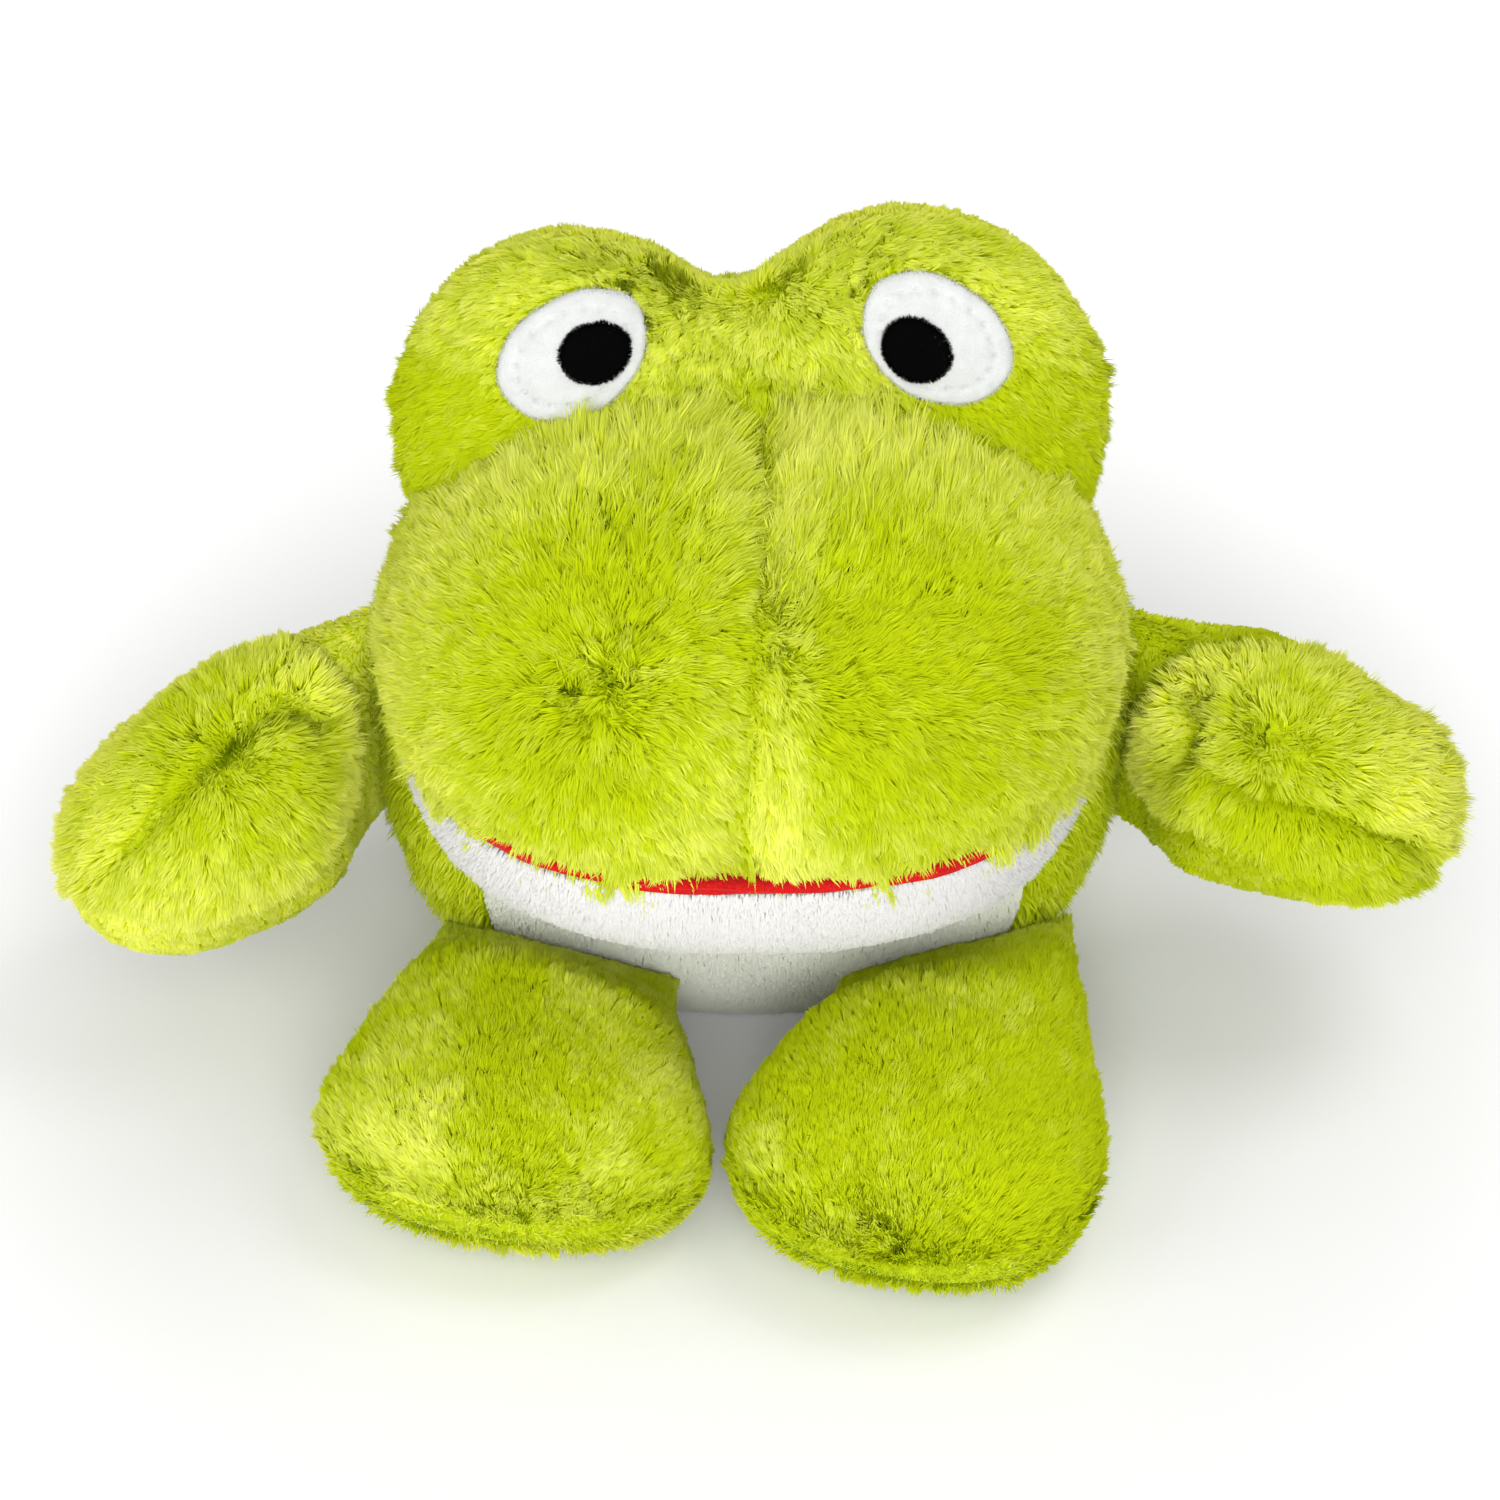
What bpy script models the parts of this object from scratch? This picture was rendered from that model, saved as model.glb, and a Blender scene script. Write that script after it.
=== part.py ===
"""A sitting plush frog, built as its sewn panels, its stuffing and its felt pieces.

Units are metres. +Z is up, the frog faces -Y, and the origin is the middle of the flat
base panel that it sits on. Left and right are the frog's own: its left side is at +X.

Each stuffed form is two or more plush panels that meet along a seam, round a core of
stuffing. The body is the largest form. The head is cut to its shape, the snout and jaw
are cut to both, and the limbs narrow to a thin seam edge that they swing about.
"""

import math

import bmesh
import bpy
import numpy as np

# General sizes
SEAM_GAP = 0.0003
PLUSH_THICKNESS = 0.0025
STUFFING_INSET = PLUSH_THICKNESS + SEAM_GAP
LIMB_SEAM_GAP = 0.0005
LIMB_STUFFING_GAP = 0.0009
GUIDE_GROWTH = 0.0006

# Body: a broad upright cushion on a flat base panel
BODY_HALF_WIDTH = 0.095
BODY_HALF_DEPTH = 0.056
BODY_MIDDLE_HEIGHT = 0.062
BODY_HALF_HEIGHT = 0.070
BODY_PLAN_POWER = 2.3
BODY_SHOULDER_POWER = 5.0
BODY_FOOT_POWER = 2.6
BODY_FOOT_TAPER_SHARE = 0.06
NECK_HEIGHT = 0.127
NECK_CROWN_SHARE = 0.6

# Head: two panels sewn round an outline with two eye mounds, leaning back
HEAD_MIDDLE_DEPTH = 0.002
HEAD_MIDDLE_HEIGHT = 0.150
HEAD_LEAN = math.radians(16)
HEAD_HALF_WIDTH = 0.080
HEAD_NOTCH_RISE = 0.053
HEAD_CHIN_DROP = 0.046
HEAD_PLAN_POWER = 2.8
HEAD_FRONT_SWELL = 0.030
HEAD_BACK_SWELL = 0.045
HEAD_SWELL_POWER = 2.3
LEFT_MOUND_RADIUS = 0.0445
LEFT_MOUND_OFFSET = 0.0390
LEFT_MOUND_RISE = 0.0267
RIGHT_MOUND_RADIUS = 0.0400
RIGHT_MOUND_OFFSET = 0.0435
RIGHT_MOUND_RISE = 0.0255
MOUND_VALLEY_WIDTH = 0.022
MOUND_VALLEY_SHARE = 0.22
OUTLINE_BLEND_POWER = 14.0

# Snout: a boxy dome of two panels over the mouth, with a seam down its middle
SNOUT_MIDDLE_DEPTH = -0.014
MOUTH_HEIGHT = 0.108
SNOUT_HALF_WIDTH = 0.091
SNOUT_REACH = 0.085
SNOUT_BACK_REACH = 0.030
SNOUT_TOP_OVER_HEAD_MIDDLE = 0.0335
SNOUT_POWER = 2.5
SNOUT_LIP_TUCK = 0.004
SNOUT_LIP_HEIGHT = 0.016
SNOUT_GROOVE_DEPTH = 0.004
SNOUT_GROOVE_WIDTH = 0.012

# Jaw: a white plush lip below the mouth
JAW_HALF_WIDTH = 0.087
JAW_REACH = 0.084
JAW_BACK_REACH = 0.030
JAW_DROP = 0.048
JAW_POWER = 2.5

# Mouth lining: an oval of felt folded across its middle
FELT_THICKNESS = 0.001
MOUTH_OPENING = 0.0004
LINING_FOLD_DEPTH = -0.064
LINING_SETBACK = 0.001

# Eyes: felt discs with a flocked pupil on each
EYE_RADIUS = 0.0178
EYE_RISE_SHARE = 0.82
EYE_THICKNESS = 0.0012
EYE_LIFT = 0.0007
PUPIL_RADIUS = 0.0082
PUPIL_THICKNESS = 0.0010
LEFT_EYE_OFFSET = 0.0435
LEFT_EYE_RISE = 0.0460
RIGHT_EYE_OFFSET = 0.0415
RIGHT_EYE_RISE = 0.0425
PUPIL_INWARD = 0.0042
LEFT_PUPIL_DROP = 0.0020
RIGHT_PUPIL_DROP = -0.0005

# Arms: fat mitts sewn to the body's sides along an upright seam
ARM_HALF_WIDTH = 0.034
ARM_HALF_THICKNESS = 0.031
ARM_SEAM_HALF_LENGTH = 0.034
ARM_SEAM_RADIUS = 0.009
ARM_SEAM_HEIGHT = 0.079
ARM_SEAM_DEPTH = -0.006
ARM_SEAM_CLEARANCE = 0.0006
ARM_SEAM_BOW = 0.001
ARM_SEAM_LEAN = math.radians(2)
ARM_TIP_POWER = 5.0
ARM_SECTION_POWER = 2.2
LEFT_ARM_LENGTH = 0.0895
LEFT_ARM_FORWARD = math.radians(21)
LEFT_ARM_DROP = math.radians(8)
LEFT_ARM_TWIST = math.radians(65)
RIGHT_ARM_LENGTH = 0.0945
RIGHT_ARM_FORWARD = math.radians(20)
RIGHT_ARM_DROP = math.radians(25)
RIGHT_ARM_TWIST = math.radians(50)

# Legs: flat-soled paddles sewn to the body's front, lying on the floor
LEG_TOP_SWELL = 0.027
LEG_SOLE_SWELL = 0.0225
LEG_SEAM_HEIGHT = 0.030
LEG_PLANE_HEIGHT = 0.022
LEG_SEAM_HALF_LENGTH = 0.032
LEG_SEAM_RADIUS = 0.010
LEG_SEAM_CLEARANCE = 0.0010
LEG_SEAM_BOW = 0.003
LEG_SEAM_YAW = math.radians(19)
LEG_TIP_POWER = 7.0
LEG_SECTION_POWER = 2.4
LEFT_LEG_LENGTH = 0.099
LEFT_LEG_HALF_WIDTH = 0.0485
LEFT_LEG_SEAM_OFFSET = 0.052
LEFT_LEG_YAW = math.radians(-12)
RIGHT_LEG_LENGTH = 0.084
RIGHT_LEG_HALF_WIDTH = 0.0515
RIGHT_LEG_SEAM_OFFSET = 0.0515
RIGHT_LEG_YAW = math.radians(9)

# How far along a limb, as a share of its length, it has swollen from seam to full size
ARM_WIDTH_RISE_SHARE = 0.60
LEG_WIDTH_RISE_SHARE = 0.80
LIMB_SWELL_RISE_SHARE = 0.38

# Facet counts
BODY_SIDES = 24
BELLY_SIDES = 6  # the number of the body's sides that the belly panel takes
BODY_ROWS = 8
BODY_LEVEL_POWER = 1.5  # above 1, the body's levels lie closer near its shoulders
HEAD_SIDES = 30
HEAD_ROWS = 6
SNOUT_SIDES = 16
SNOUT_ROWS = 6
JAW_SIDES = 24
JAW_ROWS = 5
LIMB_SIDES = 8
LIMB_ROWS = 6
LIMB_SEAM_ROWS = 2
DISC_SIDES = 24
LINING_ROWS = 14

Z_AXIS = np.array((0.0, 0.0, 1.0))

LIME = (0.50, 0.62, 0.03)
WHITE = (0.84, 0.84, 0.82)
RED = (0.62, 0.02, 0.02)
BLACK = (0.01, 0.01, 0.01)
FIBRE = (0.80, 0.79, 0.75)


def clear_scene():
    """Remove every object of the opened file."""
    for thing in list(bpy.data.objects):
        bpy.data.objects.remove(thing, do_unlink=True)


def fabric(name, colour, roughness):
    """Make a cloth material with one colour and roughness."""
    material = bpy.data.materials.new(name)
    material.use_nodes = True
    shader = material.node_tree.nodes["Principled BSDF"]
    shader.inputs["Base Color"].default_value = (*colour, 1.0)
    shader.inputs["Roughness"].default_value = roughness
    shader.inputs["Metallic"].default_value = 0.0
    return material


def make_empty(name, location, tilt=0.0):
    """Add an empty that pieces hang from, turned about X by tilt."""
    empty = bpy.data.objects.new(name, None)
    empty.location = location
    empty.rotation_euler = (tilt, 0.0, 0.0)
    bpy.context.scene.collection.objects.link(empty)
    return empty


def make_piece(name, shape, material, parent):
    """Add one closed solid, its points given in its parent's frame."""
    points, faces = shape
    mesh = bpy.data.meshes.new(name)
    mesh.from_pydata([tuple(point) for point in points], [], faces)
    solid = bmesh.new()
    solid.from_mesh(mesh)
    bmesh.ops.recalc_face_normals(solid, faces=solid.faces)
    solid.to_mesh(mesh)
    solid.free()
    mesh.shade_smooth()
    mesh.set_sharp_from_angle(angle=math.radians(40))
    if material is not None:
        mesh.materials.append(material)
    piece = bpy.data.objects.new(name, mesh)
    piece.parent = parent
    bpy.context.scene.collection.objects.link(piece)
    return piece


def make_cutter(name, shape, parent):
    """Add a closed form that only cuts other pieces."""
    cutter = make_piece(name, shape, None, parent)
    cutter.hide_render = True
    cutter.display_type = "WIRE"
    return cutter


def cut_by(piece, *cutters):
    """Cut a piece back to the space outside each cutter."""
    for cutter in cutters:
        cut = piece.modifiers.new("cut by " + cutter.name, "BOOLEAN")
        cut.operation = "DIFFERENCE"
        cut.object = cutter
        cut.solver = "EXACT"


def smooth_step(value):
    """Rise smoothly from 0 to 1 while value goes from 0 to 1."""
    value = np.clip(value, 0.0, 1.0)
    return value * value * (3.0 - 2.0 * value)


def signed_power(value, power):
    """Raise the size of a value to a power and keep its sign."""
    return np.sign(value) * np.abs(value) ** power


def unit(vector):
    """Scale a vector to length one."""
    return vector / np.linalg.norm(vector)


def number_grid(grid, wrap, start_pole, end_pole, first):
    """Number a grid's points, a pole being one point, and list its three-sided faces.

    Every cell is split along the same diagonal, so nested walls keep their gap.
    """
    rows, columns = grid.shape[:2]
    points = []
    index = np.zeros((rows, columns), dtype=int)
    for row in range(rows):
        is_pole = (row == 0 and start_pole) or (row == rows - 1 and end_pole)
        for column in range(columns):
            if is_pole and column > 0:
                index[row, column] = index[row, 0]
                continue
            index[row, column] = first + len(points)
            points.append(grid[row, column])
    faces = []
    last = columns if wrap else columns - 1
    for row in range(rows - 1):
        for column in range(last):
            after = (column + 1) % columns
            for corners in ((index[row, column], index[row, after], index[row + 1, after]),
                            (index[row, column], index[row + 1, after], index[row + 1, column])):
                if len(set(corners)) == 3:
                    faces.append([int(corner) for corner in corners])
    return points, faces, index


def closed_skin(grid):
    """Close a grid into a solid: its columns wrap round and its first and last rows are poles."""
    points, faces, _ = number_grid(grid, True, True, True, 0)
    return points, faces


def shell(outer, inner, wrap=False, pole=False):
    """Make a wall between two matching grids. With a pole, the last row is one point."""
    points, faces, outside = number_grid(outer, wrap, False, pole, 0)
    more, inner_faces, inside = number_grid(inner, wrap, False, pole, len(points))
    points += more
    faces += [list(reversed(face)) for face in inner_faces]
    rows, columns = outer.shape[:2]
    rim = [(0, column) for column in range(columns)]
    if not wrap:
        rim += [(row, columns - 1) for row in range(1, rows)]
        if pole:
            rim += [(row, 0) for row in range(rows - 2, 0, -1)]
        else:
            rim += [(rows - 1, column) for column in range(columns - 2, -1, -1)]
            rim += [(row, 0) for row in range(rows - 2, 0, -1)]
    strips = [rim]
    if wrap and not pole:
        strips.append([(rows - 1, column) for column in range(columns)])
    for strip in strips:
        for here, after in zip(strip, strip[1:] + strip[:1]):
            faces.append([int(outside[after]), int(outside[here]),
                          int(inside[here]), int(inside[after])])
    return points, faces


def lofted(rings):
    """Close a row of rings into a solid with a flat face at each end."""
    points, faces, index = number_grid(rings, True, False, False, 0)
    faces.append([int(number) for number in reversed(index[0])])
    faces.append([int(number) for number in index[-1]])
    return points, faces


def body_level(height, inset):
    """Give the body's size at a height, as a share of its widest level."""
    rise = (height - BODY_MIDDLE_HEIGHT) / (BODY_HALF_HEIGHT - inset)
    power = np.where(rise > 0.0, BODY_SHOULDER_POWER, BODY_FOOT_POWER)
    taper = 1.0 - BODY_FOOT_TAPER_SHARE * np.clip(-rise, 0.0, 1.0)
    return taper * np.clip(1.0 - np.abs(rise) ** power, 0.0, 1.0) ** (1.0 / power)


def body_grid(angles, heights, inset):
    """Give the body's points. Angles run round from the front, -Y, towards +X."""
    level = body_level(heights, inset)[:, None]
    across = (BODY_HALF_WIDTH - inset) * level
    deep = (BODY_HALF_DEPTH - inset) * level
    side = signed_power(np.sin(angles), 2.0 / BODY_PLAN_POWER)[None, :]
    front = signed_power(np.cos(angles), 2.0 / BODY_PLAN_POWER)[None, :]
    up = np.broadcast_to(heights[:, None], (len(heights), len(angles)))
    return np.stack([across * side, -deep * front, up], axis=-1)


def body_reach(height, known, axis):
    """Give how far the flat-sided body reaches along X or Y, where the other of them is known."""
    ring = body_grid(full_turn(BODY_SIDES), np.array((height,)), 0.0)[0]
    half = ring[ring[:, 1 - axis] >= 0.0]
    order = np.argsort(half[:, axis])
    return float(np.interp(known, half[order, axis], half[order, 1 - axis]))


def body_levels():
    """Give the levels that the body's panels are worked out at, closer near the shoulders."""
    low = PLUSH_THICKNESS + SEAM_GAP
    share = np.linspace(0.0, 1.0, BODY_ROWS + 1)
    return low + (NECK_HEIGHT - low) * (1.0 - (1.0 - share) ** BODY_LEVEL_POWER)


def full_turn(sides):
    """Give angles once round, without repeating the first."""
    return np.arange(sides) * (2.0 * math.pi / sides)


def body_solid(inset, foot_levels):
    """Make the whole body form as one solid, drawn in by inset, with a flat foot."""
    top = BODY_MIDDLE_HEIGHT + BODY_HALF_HEIGHT - inset
    crown = NECK_HEIGHT + (top - NECK_HEIGHT) * NECK_CROWN_SHARE
    heights = np.concatenate([foot_levels, body_levels(), (crown, top)])
    grid = body_grid(full_turn(BODY_SIDES), heights, inset)
    foot = np.zeros_like(grid[:1])
    foot[..., 2] = heights[0]
    return closed_skin(np.concatenate([foot, grid]))


def make_body(plush, white, fibre):
    """Make the belly, back and base panels and the body's stuffing."""
    frame = make_empty("body_frame", (0.0, 0.0, 0.0))
    seam_turn = SEAM_GAP / BODY_HALF_WIDTH
    levels = body_levels()
    side_turn = 2.0 * math.pi / BODY_SIDES
    half_belly = BELLY_SIDES // 2
    belly_angles = np.arange(-half_belly, half_belly + 1) * side_turn
    back_angles = np.arange(half_belly, BODY_SIDES - half_belly + 1) * side_turn
    for name, angles, material in (("belly_panel", belly_angles, white),
                                   ("back_panel", back_angles, plush)):
        angles[0] += seam_turn
        angles[-1] -= seam_turn
        outer = body_grid(angles, levels, 0.0)
        inner = body_grid(angles, levels, PLUSH_THICKNESS)
        make_piece(name, shell(outer, inner), material, frame)

    base_heights = np.array((0.0, PLUSH_THICKNESS))
    base_rings = body_grid(full_turn(BODY_SIDES), base_heights, 0.0)
    middle = np.zeros_like(base_rings[:1])
    middle_top = middle.copy()
    middle_top[..., 2] = PLUSH_THICKNESS
    make_piece("base_panel", closed_skin(np.concatenate([middle, base_rings, middle_top])),
               plush, frame)
    make_piece("body_stuffing", body_solid(STUFFING_INSET, ()), fibre, frame)
    return make_cutter("body_guide", body_solid(-GUIDE_GROWTH, (-GUIDE_GROWTH,)), frame)


def mound_radius(across, along, offset, rise, radius):
    """Give the far distance to a round mound from the head's middle, in each direction."""
    reach = across * offset + along * rise
    miss = offset ** 2 + rise ** 2 - reach ** 2
    return np.where(reach > 0.0, reach + np.sqrt(np.clip(radius ** 2 - miss, 0.0, None)), 0.0)


def head_radius(angles, inset):
    """Give the head outline's radius. Angles run from +X, the left side, up towards the crown."""
    across = np.cos(angles)
    along = np.sin(angles)
    rise = np.where(along > 0.0, HEAD_NOTCH_RISE, HEAD_CHIN_DROP)
    base = ((np.abs(across) / HEAD_HALF_WIDTH) ** HEAD_PLAN_POWER
            + (np.abs(along) / rise) ** HEAD_PLAN_POWER) ** (-1.0 / HEAD_PLAN_POWER)
    left = mound_radius(across, along, LEFT_MOUND_OFFSET, LEFT_MOUND_RISE, LEFT_MOUND_RADIUS)
    right = mound_radius(across, along, -RIGHT_MOUND_OFFSET, RIGHT_MOUND_RISE, RIGHT_MOUND_RADIUS)
    power = OUTLINE_BLEND_POWER
    return (base ** power + left ** power + right ** power) ** (1.0 / power) - inset


def head_swell(across, along, swell, inset):
    """Give how far the head stands out from its seam plane at a point of that plane."""
    radius = head_radius(np.arctan2(along, across), inset)
    share = np.clip(np.hypot(across, along) / radius, 0.0, 1.0)
    dome = (1.0 - share ** HEAD_SWELL_POWER) ** 0.5
    crown = smooth_step(along / HEAD_NOTCH_RISE)
    valley = 1.0 - MOUND_VALLEY_SHARE * crown * np.exp(-(across / MOUND_VALLEY_WIDTH) ** 2)
    return (swell - inset) * dome * valley


def head_dome(swell, inset, facing, seam_offset):
    """Give one side of the head, from its seam to its middle. Facing is -1 in front."""
    angles = full_turn(HEAD_SIDES)[None, :]
    share = np.cos(np.linspace(0.0, math.pi / 2.0, HEAD_ROWS + 1))[:, None]
    radius = head_radius(angles, inset) * share
    across = radius * np.cos(angles)
    along = radius * np.sin(angles)
    depth = head_swell(across, along, swell, inset)
    depth[0] = 0.0
    return np.stack([across, facing * (depth + seam_offset), along], axis=-1)


def head_solid(inset):
    """Make the whole head form as one solid, drawn in by inset."""
    front = head_dome(HEAD_FRONT_SWELL, inset, -1.0, 0.0)
    back = head_dome(HEAD_BACK_SWELL, inset, 1.0, 0.0)
    return closed_skin(np.concatenate([front[::-1], back[1:]]))


def disc_on_head(offset, rise, radius, lift, thickness):
    """Make a felt disc that lies on the forehead, lift above it."""
    angles = full_turn(DISC_SIDES)[None, :]
    shares = np.array((0.0, 0.5, 1.0))[:, None]
    across = offset + radius * shares * np.cos(angles)
    along = rise + EYE_RISE_SHARE * radius * shares * np.sin(angles)
    depth = head_swell(across, along, HEAD_FRONT_SWELL, 0.0) + lift
    under = np.stack([across, -depth, along], axis=-1)
    over = np.stack([across, -depth - thickness, along], axis=-1)
    return closed_skin(np.concatenate([under, over[::-1]]))


def make_head(plush, white, black, fibre, body_guide):
    """Make the head's two panels, its stuffing, the eyes and the pupils."""
    frame = make_empty("head_frame", (0.0, HEAD_MIDDLE_DEPTH, HEAD_MIDDLE_HEIGHT), -HEAD_LEAN)
    half_gap = SEAM_GAP / 2.0
    for name, swell, facing in (("head_front_panel", HEAD_FRONT_SWELL, -1.0),
                                ("head_back_panel", HEAD_BACK_SWELL, 1.0)):
        outer = head_dome(swell, 0.0, facing, half_gap)
        inner = head_dome(swell, PLUSH_THICKNESS, facing, half_gap)
        panel = make_piece(name, shell(outer, inner, wrap=True, pole=True), plush, frame)
        cut_by(panel, body_guide)
    cut_by(make_piece("head_stuffing", head_solid(STUFFING_INSET), fibre, frame), body_guide)

    pupil_lift = EYE_LIFT + EYE_THICKNESS + SEAM_GAP
    for side, offset, rise, drop in (("left", LEFT_EYE_OFFSET, LEFT_EYE_RISE, LEFT_PUPIL_DROP),
                                     ("right", -RIGHT_EYE_OFFSET, RIGHT_EYE_RISE, RIGHT_PUPIL_DROP)):
        inward = -math.copysign(PUPIL_INWARD, offset)
        eye = disc_on_head(offset, rise, EYE_RADIUS, EYE_LIFT, EYE_THICKNESS)
        pupil = disc_on_head(offset + inward, rise - drop, PUPIL_RADIUS,
                             pupil_lift, PUPIL_THICKNESS)
        make_piece(side + "_eye_white", eye, white, frame)
        make_piece(side + "_pupil", pupil, black, frame)
    return make_cutter("head_guide", head_solid(-GUIDE_GROWTH), frame)


def dome_grid(angles, tilts, sizes, power, inset):
    """Give a boxy dome's points over the mouth. Angles run from the front, -Y, towards +X."""
    half_width, reach, back_reach, rise = sizes
    angles = angles[None, :]
    tilts = tilts[:, None]
    depth = np.where(np.cos(angles) > 0.0, reach, back_reach) - inset
    level = np.cos(tilts) ** (2.0 / power)
    across = (half_width - inset) * level * signed_power(np.sin(angles), 2.0 / power)
    forward = depth * level * signed_power(np.cos(angles), 2.0 / power)
    height = (abs(rise) - inset) * np.sin(tilts) ** (2.0 / power) * math.copysign(1.0, rise)
    return np.stack([across, -forward, np.broadcast_to(height, across.shape)], axis=-1)


def grooved(grid):
    """Tuck a snout grid in at its lip, and draw it in along its middle seam."""
    low = 1.0 - smooth_step(grid[..., 2] / SNOUT_LIP_HEIGHT)
    grid[..., :2] *= (1.0 - low * SNOUT_LIP_TUCK / SNOUT_REACH)[..., None]
    distance = np.linalg.norm(grid, axis=-1, keepdims=True)
    dip = SNOUT_GROOVE_DEPTH * np.exp(-(grid[..., :1] / SNOUT_GROOVE_WIDTH) ** 2)
    return grid * (1.0 - dip / np.maximum(distance, SNOUT_GROOVE_WIDTH))


def quarter_tilts(rows):
    """Give tilts from the dome's rim to its top."""
    return np.linspace(0.0, math.pi / 2.0, rows + 1)


def make_snout(plush, fibre, body_guide, head_guide, half_slot):
    """Make the snout's two panels and its stuffing."""
    frame = make_empty("snout_frame", (0.0, SNOUT_MIDDLE_DEPTH, MOUTH_HEIGHT + half_slot))
    rise = HEAD_MIDDLE_HEIGHT + SNOUT_TOP_OVER_HEAD_MIDDLE - MOUTH_HEIGHT - half_slot
    sizes = (SNOUT_HALF_WIDTH, SNOUT_REACH, SNOUT_BACK_REACH, rise)
    tilts = quarter_tilts(SNOUT_ROWS)
    for name, side in (("snout_left_panel", 1.0), ("snout_right_panel", -1.0)):
        angles = np.linspace(0.0, math.pi, SNOUT_SIDES + 1)
        walls = []
        for inset in (0.0, PLUSH_THICKNESS):
            wall = grooved(dome_grid(angles, tilts, sizes, SNOUT_POWER, inset))
            wall[..., 0] = side * (np.abs(wall[..., 0]) + SEAM_GAP / 2.0)
            walls.append(wall)
        panel = make_piece(name, shell(walls[0], walls[1], pole=True), plush, frame)
        cut_by(panel, body_guide, head_guide)

    core = grooved(dome_grid(full_turn(2 * SNOUT_SIDES), tilts, sizes, SNOUT_POWER, STUFFING_INSET))
    middle = np.zeros_like(core[:1])
    stuffing = make_piece("snout_stuffing", closed_skin(np.concatenate([middle, core])), fibre, frame)
    cut_by(stuffing, body_guide, head_guide)


def make_jaw(white, fibre, body_guide, head_guide, half_slot):
    """Make the white lower lip and its stuffing."""
    frame = make_empty("jaw_frame", (0.0, SNOUT_MIDDLE_DEPTH, MOUTH_HEIGHT - half_slot))
    sizes = (JAW_HALF_WIDTH, JAW_REACH, JAW_BACK_REACH, -JAW_DROP)
    tilts = quarter_tilts(JAW_ROWS)
    angles = full_turn(JAW_SIDES)
    outer = dome_grid(angles, tilts, sizes, JAW_POWER, 0.0)
    inner = dome_grid(angles, tilts, sizes, JAW_POWER, PLUSH_THICKNESS)
    panel = make_piece("jaw_panel", shell(outer, inner, wrap=True, pole=True), white, frame)
    core = dome_grid(angles, tilts, sizes, JAW_POWER, STUFFING_INSET)
    middle = np.zeros_like(core[:1])
    stuffing = make_piece("jaw_stuffing", closed_skin(np.concatenate([middle, core])), fibre, frame)
    cut_by(panel, body_guide, head_guide)
    cut_by(stuffing, body_guide, head_guide)


def make_lining(red):
    """Make the folded felt oval that lines the mouth, its fold at the back."""
    frame = make_empty("mouth_frame", (0.0, SNOUT_MIDDLE_DEPTH, MOUTH_HEIGHT))
    reach = JAW_REACH - LINING_SETBACK
    half_width = JAW_HALF_WIDTH - LINING_SETBACK
    fold = -(LINING_FOLD_DEPTH - SNOUT_MIDDLE_DEPTH)
    corner = half_width * (1.0 - (fold / reach) ** SNOUT_POWER) ** (1.0 / SNOUT_POWER)
    reach_across = corner * np.sin(np.linspace(-math.pi / 2.0, math.pi / 2.0, LINING_ROWS + 1))
    reach_across = reach_across * (1.0 - LINING_SETBACK / corner)
    lip = reach * (1.0 - (np.abs(reach_across) / half_width) ** SNOUT_POWER) ** (1.0 / SNOUT_POWER)
    inside = MOUTH_OPENING / 2.0
    outside = inside + FELT_THICKNESS
    rings = []
    for across, front in zip(reach_across, lip):
        back = fold - outside
        crease = fold
        profile = [(front, -outside), (crease, -outside), (back, -inside), (back, inside),
                   (crease, outside), (front, outside), (front, inside),
                   (crease, inside), (crease, -inside), (front, -inside)]
        rings.append([(across, -forward, height) for forward, height in profile])
    make_piece("mouth_lining", lofted(np.array(rings)), red, frame)


def limb_size(share, full, seam, rise_share, tip_power):
    """Give a limb's half size along it: it swells from its seam's to its full one, then rounds."""
    swell = seam + (full - seam) * smooth_step(share / rise_share)
    return swell * np.sqrt(np.clip(1.0 - share ** tip_power, 0.0, 1.0))


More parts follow.
